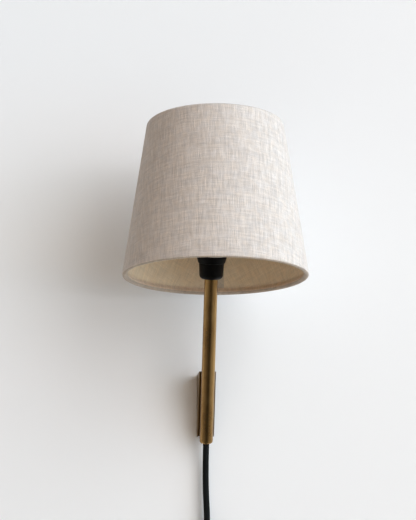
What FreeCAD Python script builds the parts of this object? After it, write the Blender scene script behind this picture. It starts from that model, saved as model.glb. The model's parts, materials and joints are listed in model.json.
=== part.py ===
import FreeCAD, Part
import math
import os

import Sketcher
from FreeCAD import Placement, Rotation, Vector

# A plug-in wall light. A straight brass stem leans out of a short wall bracket, and an E14 lampholder,
# its bulb and a strip carrier go on along the stem's line. The linen shade hangs plumb from a pivot at
# the carrier's top. The flex leaves the stem's foot and goes down the wall to a switch, a tied coil
# and a flat two-pin plug.
#
# Row frame: millimetres, wall at Y = 0, room towards -Y, +Z up, origin at the wall plate's centre.
# Stem frame: origin at the centre of the foot, z along the stem, y towards the wall.
# Shade frame: origin in the middle of the lower rim, upright.

SIZES = {
    # Stem
    "lean_angle": 20.0,  # lean of the stem out of upright, degrees
    "foot_off_wall": 15.0,  # stem line to wall at the foot
    "foot_drop": 43.5,  # foot below the plate's centre
    "stem_length": 187.0,  # foot to the lampholder
    "tube_outer": 15.0,
    "tube_wall": 1.0,
    "foot_cap_head": 7.0,
    "foot_cap_spigot": 8.0,
    "foot_cap_round": 3.0,
    "cord_grip_length": 6.5,
    "nut_bar_cover": 3.0,  # nut bar past a screw's centre, over its radius
    "top_bush_length": 12.0,
    # Flex
    "cord_width": 7.0,
    "cord_room": 0.4,  # diameter of a hole over that of the flex in it
    # Bracket
    "plate_height": 62.0,
    "plate_thick": 2.0,
    "wall_hole_width": 4.6,
    "wall_hole_spacing": 44.0,
    "ear_height": 14.0,
    "ear_reach": 12.0,
    "cover_width": 19.0,
    "cover_height": 70.0,
    "cover_wall": 1.6,
    "cover_corner": 1.2,
    "grub_off_wall": 8.0,
    "grub_length": 3.8,
    "screw_m3": 3.0,
    "screw_m4": 4.0,
    "tube_screw_spacing": 30.0,
    "button_head_width": 7.6,
    "button_head_height": 2.4,
    "hex_key": 2.5,
    # Lampholder
    "nipple_width": 10.0,
    "nipple_length": 15.6,
    "nipple_bore": 7.8,
    "holder_width": 28.0,
    "holder_wall": 1.6,
    "holder_cap_height": 18.0,
    "holder_cap_taper": 1.0,  # radius lost from the cap's top to its bottom
    "holder_cap_round": 5.0,
    "collar_width": 33.4,
    "collar_thick": 8.5,
    "collar_cone": 6.0,  # height of the collar's sloping underside
    "collar_lip": 0.8,  # collar's lower edge past the cap
    "skirt_height": 27.5,
    "skirt_wall": 2.0,
    "skirt_spigot": 4.0,
    "insulator_ledge": 2.4,
    "insulator_thick": 7.0,
    "terminal_height": 6.0,
    "terminal_width": 5.6,
    "terminal_offset": 5.2,
    "terminal_screw": 2.5,
    "conductor_width": 2.0,
    "shell_inner": 14.4,
    "shell_wall": 0.6,
    "shell_height": 14.0,
    "contact_thick": 0.5,
    "contact_rise": 2.0,
    "contact_width": 4.0,
    "rivet_width": 2.0,
    "shade_nut_width": 38.0,
    "shade_nut_height": 8.0,
    "shade_nut_notch": 2.4,
    # Bulb
    "bulb_cap_width": 13.9,
    "bulb_cap_length": 20.0,
    "bulb_contact_length": 2.0,
    "bulb_contact_width": 4.8,
    "bulb_width": 45.0,
    "bulb_neck_width": 19.0,
    "bulb_neck_length": 9.0,
    "bulb_wall": 0.8,
    "bulb_thread_pitch": 2.82,
    "bulb_thread_depth": 0.6,
    # Shade carrier and pivot
    "carrier_height": 117.5,
    "carrier_span": 66.0,
    "carrier_strip": 1.6,
    "carrier_width": 10.0,
    "carrier_ring_width": 38.0,
    "fork_height": 12.0,
    "fork_base": 2.0,
    "fork_ear": 2.0,
    "fork_screw_head": 8.0,
    "fork_screw_head_height": 2.4,
    "fork_screw_width": 5.0,
    "fork_nut_width": 8.0,
    "fork_nut_height": 4.0,
    "eye_width": 10.0,
    "eye_length": 12.0,
    "pivot_width": 4.0,
    "pivot_head_width": 7.0,
    "pivot_head_height": 2.2,
    "pivot_nut_width": 7.0,
    "pivot_nut_height": 3.2,
    # Shade
    "shade_bottom": 200.0,
    "shade_top": 150.0,
    "shade_height": 170.0,
    "pivot_above_rim": 156.0,
    "linen_thick": 0.8,
    "liner_thick": 0.5,
    "ring_wire": 3.0,
    "hem_width": 5.6,
    "hem_height": 8.0,
    "spider_disc_width": 24.0,
    "spider_disc_thick": 2.0,
    "spider_disc_rise": 9.0,
    "spider_arm_width": 5.0,
    "spider_arm_thick": 1.6,
    # Switch
    "cord_drift": 1.5,  # how far the flex drifts to the right on its way down
    "switch_drop": 90.5,  # foot to the top of the switch
    "switch_off_wall": 8.8,
    "switch_width": 24.0,
    "switch_height": 54.0,
    "switch_thick": 16.8,
    "switch_wall": 1.6,
    "switch_round": 4.0,
    "rocker_width": 9.4,
    "rocker_height": 20.0,
    "rocker_throw": 14.0,
    "rocker_pin_width": 2.0,
    "rocker_stand": 3.0,
    "post_width": 5.2,
    "switch_screw": 2.6,
    # Coil and plug
    "coil_radius": 48.0,
    "coil_step": 7.6,
    "coil_lead": 10.0,
    "tie_width": 8.0,
    "tie_thick": 1.2,
    "tie_gap": 0.3,
    "plug_width": 35.0,
    "plug_thick": 13.7,
    "plug_length": 35.0,
    "plug_neck_width": 14.0,
    "plug_neck_thick": 11.0,
    "plug_relief_length": 26.0,
    "plug_relief_wide": 10.8,
    "plug_relief_narrow": 9.6,
    "pin_width": 4.0,
    "pin_length": 19.0,
    "pin_spacing": 18.6,
    "pin_sleeve": 10.0,
    # Clearances
    "thread_gap": 0.05,  # radius, screw in its thread
    "hole_gap": 0.2,  # radius, screw in a plain hole
    "fit_gap": 0.1,  # radius or side, parts that slip together
    "seat_gap": 0.05,  # between faces that are clamped together
    "run_gap": 0.06,  # radius, pivot in its eye
    "side_gap": 0.4,  # beside parts that move
}

doc = FreeCAD.newDocument("fabric_shade_wall_light")
sheet = doc.addObject("Spreadsheet::Sheet", "sizes")
for row, (alias, number) in enumerate(SIZES.items(), start=1):
    sheet.set(f"A{row}", alias.replace("_", " "))
    sheet.set(f"B{row}", str(number))
    sheet.setAlias(f"B{row}", alias)
doc.recompute()


class Size:
    """A length or angle: its number now, and the sheet expression that gives it."""

    def __init__(self, number, text):
        self.number = float(number)
        self.text = text

    def joined(self, sign, other, number):
        return Size(number, f"({self.text} {sign} {other.text})")

    def __add__(self, other):
        other = as_size(other)
        return self.joined("+", other, self.number + other.number)

    def __sub__(self, other):
        other = as_size(other)
        return self.joined("-", other, self.number - other.number)

    def __mul__(self, other):
        other = as_size(other)
        return self.joined("*", other, self.number * other.number)

    def __truediv__(self, other):
        other = as_size(other)
        return self.joined("/", other, self.number / other.number)

    def __radd__(self, other):
        return as_size(other) + self

    def __rsub__(self, other):
        return as_size(other) - self

    def __rmul__(self, other):
        return as_size(other) * self

    def __neg__(self):
        return as_size(0) - self


def as_size(thing):
    return thing if isinstance(thing, Size) else Size(thing, repr(float(thing)))


def sine(angle):
    return Size(math.sin(math.radians(angle.number)), f"sin({angle.text})")


def cosine(angle):
    return Size(math.cos(math.radians(angle.number)), f"cos({angle.text})")


def tangent(angle):
    return Size(math.tan(math.radians(angle.number)), f"tan({angle.text})")


class Sheet:
    """Gives each alias of the sheet as a Size."""

    def __getattr__(self, alias):
        return Size(SIZES[alias], f"sizes.{alias}")


k = Sheet()


def bind(item, name, size):
    """Tie one property to the sheet, or set it where the size is a plain number."""
    item.setExpression(name, as_size(size).text)


def put(item, at=(0, 0, 0), axis=(1, 0, 0), turn=0):
    """Give an object a bound place: a base point, and a turn about one axis."""
    item.Placement = Placement(
        Vector(*[as_size(x).number for x in at]), Rotation(Vector(*axis), as_size(turn).number)
    )
    for letter, x in zip("xyz", at):
        bind(item, f".Placement.Base.{letter}", x)
    if as_size(turn).number:
        bind(item, ".Placement.Rotation.Angle", turn)
    return item


# Places that several pieces share

TUBE_R = k.tube_outer / 2
TUBE_BORE_R = TUBE_R - k.tube_wall
PLUG_FIT_R = TUBE_BORE_R - k.seat_gap  # turned parts inside the tube
CORD_R = k.cord_width / 2
CORD_HOLE_R = (k.cord_width + k.cord_room) / 2
SIN, COS, TAN = sine(k.lean_angle), cosine(k.lean_angle), tangent(k.lean_angle)

HOLDER_S = k.stem_length
COLLAR_S = HOLDER_S + k.holder_cap_height
SEAT_S = COLLAR_S + k.collar_thick
CARRIER_TOP_S = SEAT_S + k.seat_gap + k.carrier_height
PIVOT_S = CARRIER_TOP_S + k.seat_gap + k.fork_height
PIVOT_Y = -(k.foot_off_wall + PIVOT_S * SIN)
PIVOT_Z = PIVOT_S * COS - k.foot_drop
RIM_Z = PIVOT_Z - k.pivot_above_rim


def in_stem(item):
    """Place a piece that is drawn in the stem frame."""
    return put(item, (0, -k.foot_off_wall, -k.foot_drop), (1, 0, 0), k.lean_angle)


def in_shade(item):
    """Place a piece that is drawn in the shade frame."""
    return put(item, (0, PIVOT_Y, RIM_Z))


PAST = 1.0  # how far a cutting tool reaches past a face

pieces = {}


def piece(item, name, where=None):
    """Name a finished sub-part, and place it if it is drawn in a frame of its own."""
    item.Label = name
    pieces[name] = item
    if where:
        where(item)
    return item


# Drawing helpers


def new_body(name):
    return doc.addObject("PartDesign::Body", name)


def plane_of(body, role):
    return next(f for f in body.Origin.OriginFeatures if f.Role == role)


def new_sketch(body, role, name, lift=0):
    sketch = body.newObject("Sketcher::SketchObject", name)
    sketch.AttachmentSupport = (plane_of(body, role), [""])
    sketch.MapMode = "FlatFace"
    if as_size(lift).number:
        bind(sketch, ".AttachmentOffset.Base.z", lift)
    return sketch


def fix_point(sketch, edge, end, across, up):
    """Tie one point of a sketch to its two sizes."""
    across, up = as_size(across), as_size(up)
    for kind, line, size in (("DistanceX", -2, across), ("DistanceY", -1, up)):
        if size.number == 0:
            sketch.addConstraint(Sketcher.Constraint("PointOnObject", edge, end, line))
        else:
            made = sketch.addConstraint(Sketcher.Constraint(kind, -1, 1, edge, end, size.number))
            sketch.setExpression(f"Constraints[{made}]", size.text)


def draw(sketch, corners):
    """A closed outline of straight sides, with each corner tied to the sheet."""
    spots = [Vector(as_size(a).number, as_size(b).number, 0) for a, b in corners]
    first = len(sketch.Geometry)
    count = len(spots)
    for i, spot in enumerate(spots):
        sketch.addGeometry(Part.LineSegment(spot, spots[(i + 1) % count]), False)
    for i in range(count):
        sketch.addConstraint(
            Sketcher.Constraint("Coincident", first + i, 2, first + (i + 1) % count, 1)
        )
    for i, (across, up) in enumerate(corners):
        fix_point(sketch, first + i, 1, across, up)
    return sketch


def draw_circle(sketch, radius, across=0, up=0):
    """A circle with its centre and radius tied to the sheet."""
    radius = as_size(radius)
    centre = Vector(as_size(across).number, as_size(up).number, 0)
    edge = sketch.addGeometry(Part.Circle(centre, Vector(0, 0, 1), radius.number), False)
    if as_size(across).number == 0 and as_size(up).number == 0:
        sketch.addConstraint(Sketcher.Constraint("Coincident", edge, 3, -1, 1))
    else:
        fix_point(sketch, edge, 3, across, up)
    made = sketch.addConstraint(Sketcher.Constraint("Radius", edge, radius.number))
    sketch.setExpression(f"Constraints[{made}]", radius.text)
    return sketch


def box_corners(left, right, low, high):
    return [(left, low), (right, low), (right, high), (left, high)]


def turn(body, sketch, name="turning"):
    """Revolve a half section about the body's Z axis."""
    feature = body.newObject("PartDesign::Revolution", name)
    feature.Profile = sketch
    feature.ReferenceAxis = (sketch, ["V_Axis"])
    feature.Angle = 360
    return feature


def turned(name, corners):
    """A body that is turned about Z from a half section of (radius, height) corners."""
    body = new_body(name)
    turn(body, draw(new_sketch(body, "XZ_Plane", f"{name}_section"), corners))
    return body


def pad(body, sketch, length, both_ways=True, name="pad"):
    feature = body.newObject("PartDesign::Pad", name)
    feature.Profile = sketch
    bind(feature, "Length", length)
    if both_ways:
        feature.SideType = "Symmetric"
    return feature


def pocket(body, sketch, length=None, both_ways=True, back=False, name="pocket"):
    """Cut a sketch out of a body: right through both ways, or to a depth."""
    feature = body.newObject("PartDesign::Pocket", name)
    feature.Profile = sketch
    if length is None:
        feature.Type = "ThroughAll"
    else:
        bind(feature, "Length", length)
    if both_ways:
        feature.SideType = "Symmetric"
    feature.Reversed = back
    return feature


def round_edges(body, radius, wanted, name="rounding"):
    """Round the edges of a body's tip whose middle point passes a test."""
    doc.recompute()
    base = body.Tip
    names = [
        f"Edge{i}"
        for i, edge in enumerate(base.Shape.Edges, start=1)
        if wanted(edge, edge.valueAt((edge.FirstParameter + edge.LastParameter) / 2))
    ]
    feature = body.newObject("PartDesign::Fillet", name)
    feature.Base = (base, names)
    bind(feature, "Radius", radius)
    return feature


def ring_pattern(body, feature, count, name="round_pattern"):
    """Repeat a feature round the body's Z axis."""
    pattern = body.newObject("PartDesign::PolarPattern", name)
    pattern.Originals = [feature]
    axis = next(f for f in body.Origin.OriginFeatures if f.Role == "Z_Axis")
    pattern.Axis = (axis, [""])
    pattern.Angle = 360
    pattern.Occurrences = count
    body.Tip = pattern
    return pattern


TURN_TO = {"x": ((0, 1, 0), 90), "y": ((1, 0, 0), -90), "z": ((1, 0, 0), 0)}


def rod(name, radius, length, at, along="z"):
    """A round bar from one point along an axis."""
    bar = doc.addObject("Part::Cylinder", name)
    bind(bar, "Radius", radius)
    bind(bar, "Height", length)
    axis, angle = TURN_TO[along]
    return put(bar, at, axis, angle)


def cone(name, radius, far_radius, length, at, along="z"):
    """A tapered round bar from one point along an axis."""
    bar = doc.addObject("Part::Cone", name)
    bind(bar, "Radius1", radius)
    bind(bar, "Radius2", far_radius)
    bind(bar, "Height", length)
    axis, angle = TURN_TO[along]
    return put(bar, at, axis, angle)


def block(name, low, high):
    """A box between two corners."""
    box = doc.addObject("Part::Box", name)
    for side, a, b in zip(("Length", "Width", "Height"), low, high):
        bind(box, side, as_size(b) - as_size(a))
    return put(box, low)


def hex_bar(name, across_flats, length, at, along="z"):
    """A six-sided bar from one point along an axis."""
    bar = doc.addObject("Part::Prism", name)
    bar.Polygon = 6
    bind(bar, "Circumradius", as_size(across_flats) / math.sqrt(3))
    bind(bar, "Height", length)
    axis, angle = TURN_TO[along]
    return put(bar, at, axis, angle)


def cut(name, base, *tools):
    """Take tools away from a base, one after another."""
    for i, tool in enumerate(tools):
        feature = doc.addObject("Part::Cut", f"{name}_cut{i + 1}")
        feature.Base = base
        feature.Tool = tool
        base = feature
    return base


def fuse(name, *shapes):
    feature = doc.addObject("Part::MultiFuse", f"{name}_fused")
    feature.Shapes = list(shapes)
    return feature


def group(name, *shapes):
    """Several separate solids that share one node."""
    feature = doc.addObject("Part::Compound", f"{name}_group")
    feature.Links = list(shapes)
    return feature


# Wall plate and bracket

COVER_FRONT_IN = k.cover_wall / COS  # the sloping front's thickness, level


def front_y(height):
    """Where the sloping front's outer face is, at a height in the row frame."""
    line = k.foot_off_wall + (height + k.foot_drop) * TAN
    return -(line - (TUBE_R + k.seat_gap) / COS)


def make_wall_plate():
    body = new_body("wall_plate_body")
    half = k.cover_width / 2 - k.cover_wall - k.fit_gap
    outline = new_sketch(body, "XZ_Plane", "plate_outline")
    draw(outline, box_corners(-half, half, -k.plate_height / 2, k.plate_height / 2))
    pad(body, outline, k.plate_thick, both_ways=False)
    ears = new_sketch(body, "XZ_Plane", "ear_feet")
    high = k.ear_height / 2
    draw(ears, box_corners(half - k.cover_wall, half, -high, high))
    draw(ears, box_corners(-half, -half + k.cover_wall, -high, high))
    pad(body, ears, k.ear_reach, both_ways=False, name="ears")
    holes = new_sketch(body, "XZ_Plane", "wall_holes")
    for side in (-1, 1):
        draw_circle(holes, k.wall_hole_width / 2, 0, side * k.wall_hole_spacing / 2)
    pocket(body, holes, name="wall_hole_cut")
    threads = new_sketch(body, "YZ_Plane", "ear_threads")
    draw_circle(threads, k.screw_m3 / 2 + k.thread_gap, -k.grub_off_wall, 0)
    pocket(body, threads, name="ear_thread_cut")
    piece(body, "wall_plate")


def make_bracket_cover():
    body = new_body("bracket_cover_body")
    low, high = -k.cover_height / 2, k.cover_height / 2
    side = new_sketch(body, "YZ_Plane", "cover_side")
    draw(side, [(0, low), (0, high), (front_y(high), high), (front_y(low), low)])
    pad(body, side, k.cover_width)
    round_edges(
        body,
        k.cover_corner,
        lambda edge, mid: edge.Length > k.cover_height.number and abs(mid.x) > 1 and mid.y < -1,
    )
    inner_high = high - k.cover_wall
    inside = new_sketch(body, "YZ_Plane", "cover_inside")
    draw(
        inside,
        [
            (0, low),
            (0, inner_high),
            (front_y(inner_high) + COVER_FRONT_IN, inner_high),
            (front_y(low) + COVER_FRONT_IN, low),
        ],
    )
    pocket(body, inside, k.cover_width - 2 * k.cover_wall, name="hollow")
    threads = new_sketch(body, "YZ_Plane", "side_threads")
    draw_circle(threads, k.screw_m3 / 2 + k.thread_gap, -k.grub_off_wall, 0)
    pocket(body, threads, name="side_thread_cut")
    holes = [
        in_stem_tool(rod(f"cover_hole_{i}", k.screw_m4 / 2 + k.hole_gap, k.cover_wall * 6,
                         (0, TUBE_R - k.cover_wall, s), "y"))
        for i, s in enumerate(SCREW_S)
    ]
    piece(cut("bracket_cover", body, *holes), "bracket_cover")


def in_stem_tool(item):
    """Turn a tool that is drawn in the stem frame into the row frame."""
    holder = doc.addObject("Part::Compound", f"{item.Name}_turned")
    holder.Links = [item]
    return in_stem(holder)


FRONT_MIDDLE_S = (k.foot_off_wall + front_y(as_size(0))) * -1 * SIN + k.foot_drop * COS
SCREW_S = (FRONT_MIDDLE_S - k.tube_screw_spacing / 2, FRONT_MIDDLE_S + k.tube_screw_spacing / 2)


def make_grub_screws():
    screws = []
    for i, side in enumerate((-1, 1)):
        far = k.cover_width / 2 - k.cover_wall / 8
        near = far - k.grub_length
        start = -far if side < 0 else near
        bar = rod(f"grub_{i}", k.screw_m3 / 2, k.grub_length, (start, -k.grub_off_wall, 0), "x")
        socket_start = -far - 1 if side < 0 else far - k.grub_length / 3
        socket = hex_bar(
            f"grub_socket_{i}",
            k.screw_m3 / 2,
            k.grub_length / 3 + 1,
            (socket_start, -k.grub_off_wall, 0),
            "x",
        )
        screws.append(cut(f"grub_{i}", bar, socket))
    piece(group("grub_screws", *screws), "grub_screws")


def make_tube_screws():
    head_y = TUBE_R + k.seat_gap + k.cover_wall
    inner_y = NUT_FLAT_Y + k.hole_gap
    screws = []
    for i, s in enumerate(SCREW_S):
        shank = rod(f"shank_{i}", k.screw_m4 / 2 - k.thread_gap, head_y - inner_y + 0.5, (0, inner_y, s), "y")
        rim = k.button_head_height / 3
        head = rod(f"head_{i}", k.button_head_width / 2, rim, (0, head_y, s), "y")
        crown = cone(
            f"crown_{i}", k.button_head_width / 2, k.button_head_width / 4, rim * 2, (0, head_y + rim, s), "y"
        )
        socket = hex_bar(
            f"socket_{i}", k.hex_key, k.button_head_height, (0, head_y + k.button_head_height / 2, s), "y"
        )
        screws.append(cut(f"tube_screw_{i}", fuse(f"tube_screw_{i}", shank, head, crown), socket))
    piece(group("tube_screws", *screws), "tube_screws", in_stem)


# Stem

NUT_FLAT_Y = CORD_R + k.hole_gap


def make_stem_tube():
    tube = turned(
        "stem_tube_body",
        box_corners(TUBE_BORE_R, TUBE_R, k.foot_cap_head, k.stem_length),
    )
    holes = [
        rod(f"tube_hole_{i}", k.screw_m4 / 2 + k.hole_gap, TUBE_R, (0, TUBE_BORE_R / 2, s), "y")
        for i, s in enumerate(SCREW_S)
    ]
    piece(cut("stem_tube", tube, *holes), "stem_tube", in_stem)


def make_foot_cap():
    head = k.foot_cap_head
    top = head + k.foot_cap_spigot
    body = turned(
        "foot_cap_body",
        [
            (CORD_HOLE_R, 0),
            (TUBE_R, 0),
            (TUBE_R, head),
            (PLUG_FIT_R, head),
            (PLUG_FIT_R, top),
            (CORD_HOLE_R, top),
        ],
    )
    round_edges(
        body,
        k.foot_cap_round,
        lambda edge, mid: abs(mid.z) < 0.01 and edge.BoundBox.XLength > k.tube_outer.number - 0.1,
    )
    piece(body, "foot_cap", in_stem)


def make_cord_grip():
    low = k.foot_cap_head + k.foot_cap_spigot
    collar = turned(
        "cord_grip_collar",
        box_corners(CORD_R + k.seat_gap, PLUG_FIT_R, low, low + k.cord_grip_length),
    )
    slit = block(
        "cord_grip_slit",
        (-k.cord_room, -TUBE_R, low - 1),
        (k.cord_room, 0, low + k.cord_grip_length + 1),
    )
    piece(cut("cord_grip", collar, slit), "cord_grip", in_stem)


def make_nut_bar():
    reach = k.nut_bar_cover + k.screw_m4 / 2
    low, high = SCREW_S[0] - reach, SCREW_S[1] + reach
    round_bar = rod("nut_bar_round", PLUG_FIT_R, high - low, (0, 0, low))
    keep = block("nut_bar_keep", (-TUBE_R, NUT_FLAT_Y, low), (TUBE_R, TUBE_R, high))
    bar = doc.addObject("Part::Common", "nut_bar_segment")
    bar.Base = round_bar
    bar.Tool = keep
    threads = [
        rod(f"nut_thread_{i}", k.screw_m4 / 2, TUBE_R, (0, CORD_R / 2, s), "y") for i, s in enumerate(SCREW_S)
    ]
    piece(cut("nut_bar", bar, *threads), "nut_bar", in_stem)


def make_top_bush():
    low = k.stem_length - k.top_bush_length
    bush = turned(
        "top_bush_body",
        box_corners(k.nipple_width / 2 + k.thread_gap, PLUG_FIT_R, low, k.stem_length),
    )
    piece(bush, "top_bush", in_stem)


NIPPLE_LOW = HOLDER_S - k.top_bush_length * 3 / 4
NIPPLE_HIGH = NIPPLE_LOW + k.nipple_length


def make_nipple():
    pipe = turned(
        "nipple_body", box_corners(k.nipple_bore / 2, k.nipple_width / 2, NIPPLE_LOW, NIPPLE_HIGH)
    )
    piece(pipe, "nipple", in_stem)


FLEX_END_S = NIPPLE_HIGH - k.cord_room / 2


def make_stem_flex():
    piece(rod("stem_flex_bar", CORD_R, FLEX_END_S, (0, 0, 0)), "stem_flex", in_stem)


# Lampholder

HOLDER_R = k.holder_width / 2
SKIRT_R = HOLDER_R - k.fit_gap
SKIRT_IN_R = SKIRT_R - k.skirt_wall
SPIGOT_R = HOLDER_R - k.holder_wall - k.fit_gap
SPIGOT_S = COLLAR_S - k.skirt_spigot
LEDGE_TOP_S = SPIGOT_S + k.insulator_ledge
INSULATOR_TOP_S = LEDGE_TOP_S + k.insulator_thick


def make_holder_cap():
    thread_r = k.nipple_width / 2 + k.thread_gap
    low, wall = HOLDER_S, k.holder_wall
    low_r = HOLDER_R - k.holder_cap_taper
    boss_top = NIPPLE_HIGH - wall
    body = turned(
        "holder_cap_body",
        [
            (thread_r, low),
            (low_r, low),
            (HOLDER_R, COLLAR_S),
            (HOLDER_R - wall, COLLAR_S),
            (HOLDER_R - wall, SPIGOT_S - wall / 2),
            (low_r - wall, low + wall),
            (thread_r + wall, low + wall),
            (thread_r + wall, boss_top),
            (thread_r, boss_top),
        ],
    )
    round_edges(
        body,
        k.holder_cap_round,
        lambda edge, mid: abs(mid.z - HOLDER_S.number) < 0.01
        and edge.BoundBox.XLength > (2 * low_r).number - 0.1,
    )
    round_edges(
        body,
        k.holder_cap_round - wall,
        lambda edge, mid: abs(mid.z - (HOLDER_S + wall).number) < 0.01
        and edge.BoundBox.XLength > (2 * (low_r - wall)).number - 0.1,
        "inner_rounding",
    )
    piece(body, "holder_cap", in_stem)


def make_holder_skirt():
    top = SEAT_S + k.skirt_height
    ledge_r = SKIRT_IN_R - k.insulator_ledge
    body = turned(
        "holder_skirt_body",
        [
            (ledge_r, SPIGOT_S),
            (SPIGOT_R, SPIGOT_S),
            (SPIGOT_R, COLLAR_S),
            (HOLDER_R + k.collar_lip, COLLAR_S),
            (k.collar_width / 2, COLLAR_S + k.collar_cone),
            (k.collar_width / 2, SEAT_S),
            (SKIRT_R, SEAT_S),
            (SKIRT_R, top),
            (SKIRT_IN_R, top),
            (SKIRT_IN_R, LEDGE_TOP_S),
            (ledge_r, LEDGE_TOP_S),
        ],
    )
    round_edges(
        body,
        k.collar_lip,
        lambda edge, mid: edge.BoundBox.XLength > (2 * HOLDER_R).number and edge.BoundBox.ZLength < 0.01,
    )
    piece(body, "holder_skirt", in_stem)


def make_insulator():
    disc = turned(
        "insulator_body",
        box_corners(0, SKIRT_IN_R - k.fit_gap, LEDGE_TOP_S, INSULATOR_TOP_S),
    )
    hole_r = k.rivet_width / 2 + k.thread_gap
    holes = [
        rod(f"insulator_hole_{i}", hole_r, k.insulator_thick + 2 * PAST, (x, 0, LEDGE_TOP_S - PAST))
        for i, x in enumerate((-k.terminal_offset, k.terminal_offset))
    ]
    piece(cut("insulator", disc, *holes), "insulator", in_stem)


HEAD_TO_SHANK = 1.6  # width of a small head over that of its shank


def make_terminals():
    blocks, screws, wires, rivets = [], [], [], []
    high, face = k.terminal_height, k.terminal_width / 2
    screw_r, wire_r, rivet_r = k.terminal_screw / 2, k.conductor_width / 2, k.rivet_width / 2
    block_low = LEDGE_TOP_S - high
    screw_s = block_low + high / 2
    rivet_low = LEDGE_TOP_S - high / 4
    rivet_top = INSULATOR_TOP_S + k.contact_thick + 2 * k.seat_gap
    for i, side in enumerate((-1, 1)):
        x = side * k.terminal_offset
        body = block(f"terminal_block_{i}", (x - face, -face, block_low), (x + face, face, LEDGE_TOP_S))
        wire_hole = rod(f"wire_hole_{i}", wire_r + k.thread_gap, high / 3 + PAST, (x, 0, block_low - PAST))
        screw_at = (x, -face - PAST, screw_s)
        screw_hole = rod(f"screw_hole_{i}", screw_r + k.thread_gap, face + PAST, screw_at, "y")
        rivet_at = (x, 0, LEDGE_TOP_S - high / 3)
        rivet_hole = rod(f"rivet_hole_{i}", rivet_r + k.thread_gap, high / 3 + PAST, rivet_at)
        blocks.append(cut(f"terminal_{i}", body, wire_hole, screw_hole, rivet_hole))
        head_at = (x, -face - screw_r - k.seat_gap, screw_s)
        head = rod(f"terminal_head_{i}", screw_r * HEAD_TO_SHANK, screw_r, head_at, "y")
        shank = rod(f"terminal_shank_{i}", screw_r, face, (x, -face - screw_r, screw_s), "y")
        slot = block(
            f"terminal_slot_{i}",
            (x - screw_r / 4, -k.terminal_width, screw_s - screw_r * 2),
            (x + screw_r / 4, -face - screw_r / 2, screw_s + screw_r * 2),
        )
        screws.append(cut(f"terminal_screw_{i}", fuse(f"terminal_screw_{i}", head, shank), slot))
        stem = rod(f"rivet_stem_{i}", rivet_r, rivet_top - rivet_low, (x, 0, rivet_low))
        cap = rod(f"rivet_cap_{i}", rivet_r * HEAD_TO_SHANK, k.contact_thick, (x, 0, rivet_top))
        rivets.append(fuse(f"rivet_{i}", stem, cap))
        wires.append(make_conductor(side, block_low + high / 4))
    piece(group("terminal_blocks", *blocks), "terminal_blocks", in_stem)
    piece(group("terminal_screws", *screws), "terminal_screws", in_stem)
    piece(group("contact_rivets", *rivets), "contact_rivets", in_stem)
    made = doc.addObject("Part::Feature", "conductors_shape")
    made.Shape = Part.makeCompound(wires)
    piece(made, "conductors", in_stem)


CORE_OUT = 0.55  # where a core leaves the flex's end, off its middle, in core widths
CORE_LEAD = 0.3  # share of a core's rise that is straight, below its terminal
CORE_BEND = 0.5  # share of its rise that each end of its bend pulls on


def make_conductor(side, top):
    """One bared core: out of the flex's end, across, and straight up into its terminal."""
    low = (FLEX_END_S + k.seat_gap).number
    near, far = side * k.conductor_width.number * CORE_OUT, side * k.terminal_offset.number
    high = top.number
    lead = (high - low) * CORE_LEAD
    bend = (high - low) * CORE_BEND
    route = Part.BezierCurve()
    route.setPoles(
        [
            Vector(near, 0, low),
            Vector(near, 0, low + bend),
            Vector(far, 0, high - lead - bend),
            Vector(far, 0, high - lead),
        ]
    )
    path = Part.Wire([route.toShape(), Part.makeLine(Vector(far, 0, high - lead), Vector(far, 0, high))])
    ring = Part.Wire(Part.makeCircle(k.conductor_width.number / 2, Vector(near, 0, low), Vector(0, 0, 1)))
    return path.makePipeShell([ring], True, False)


SHELL_IN_R = k.shell_inner / 2
SHELL_OUT_R = SHELL_IN_R + k.shell_wall


def make_screw_shell():
    low = INSULATOR_TOP_S + k.seat_gap
    shell = turned(
        "screw_shell_body",
        [
            (SHELL_IN_R, low),
            (SHELL_OUT_R, low),
            (SHELL_OUT_R, low + k.shell_height),
            (SHELL_IN_R, low + k.shell_height),
        ],
    )
    floor = rod("shell_floor", SHELL_IN_R + k.shell_wall / 2, k.contact_thick, (0, 0, low))
    side = block(
        "shell_floor_side",
        (k.terminal_offset - k.rivet_width, -SHELL_OUT_R, low - PAST),
        (SHELL_OUT_R, SHELL_OUT_R, low + k.shell_height),
    )
    tab = doc.addObject("Part::Common", "shell_tab")
    tab.Base = floor
    tab.Tool = side
    hole_at = (k.terminal_offset, 0, low - PAST)
    hole = rod("shell_tab_hole", k.rivet_width / 2 + k.thread_gap, k.contact_thick + 2 * PAST, hole_at)
    piece(cut("screw_shell", fuse("screw_shell", shell, tab), hole), "screw_shell", in_stem)


def make_centre_contact():
    body = new_body("centre_contact_body")
    low = INSULATOR_TOP_S + k.seat_gap
    thick, rise = k.contact_thick, k.contact_rise
    left, foot = -k.terminal_offset - k.rivet_width / 2, -k.terminal_offset + k.rivet_width
    bend, tip = -k.contact_width / 4, k.contact_width / 2
    side = new_sketch(body, "XZ_Plane", "contact_side")
    draw(
        side,
        [
            (left, low),
            (foot, low),
            (bend, low + rise - thick),
            (tip, low + rise - thick),
            (tip, low + rise),
            (bend, low + rise),
            (foot, low + thick),
            (left, low + thick),
        ],
    )
    pad(body, side, k.contact_width)
    hole_at = (-k.terminal_offset, 0, low - PAST)
    hole = rod("contact_hole", k.rivet_width / 2 + k.thread_gap, k.contact_thick + 2 * PAST, hole_at)
    piece(cut("centre_contact", body, hole), "centre_contact", in_stem)


NUT_NOTCHES = 16


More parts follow.
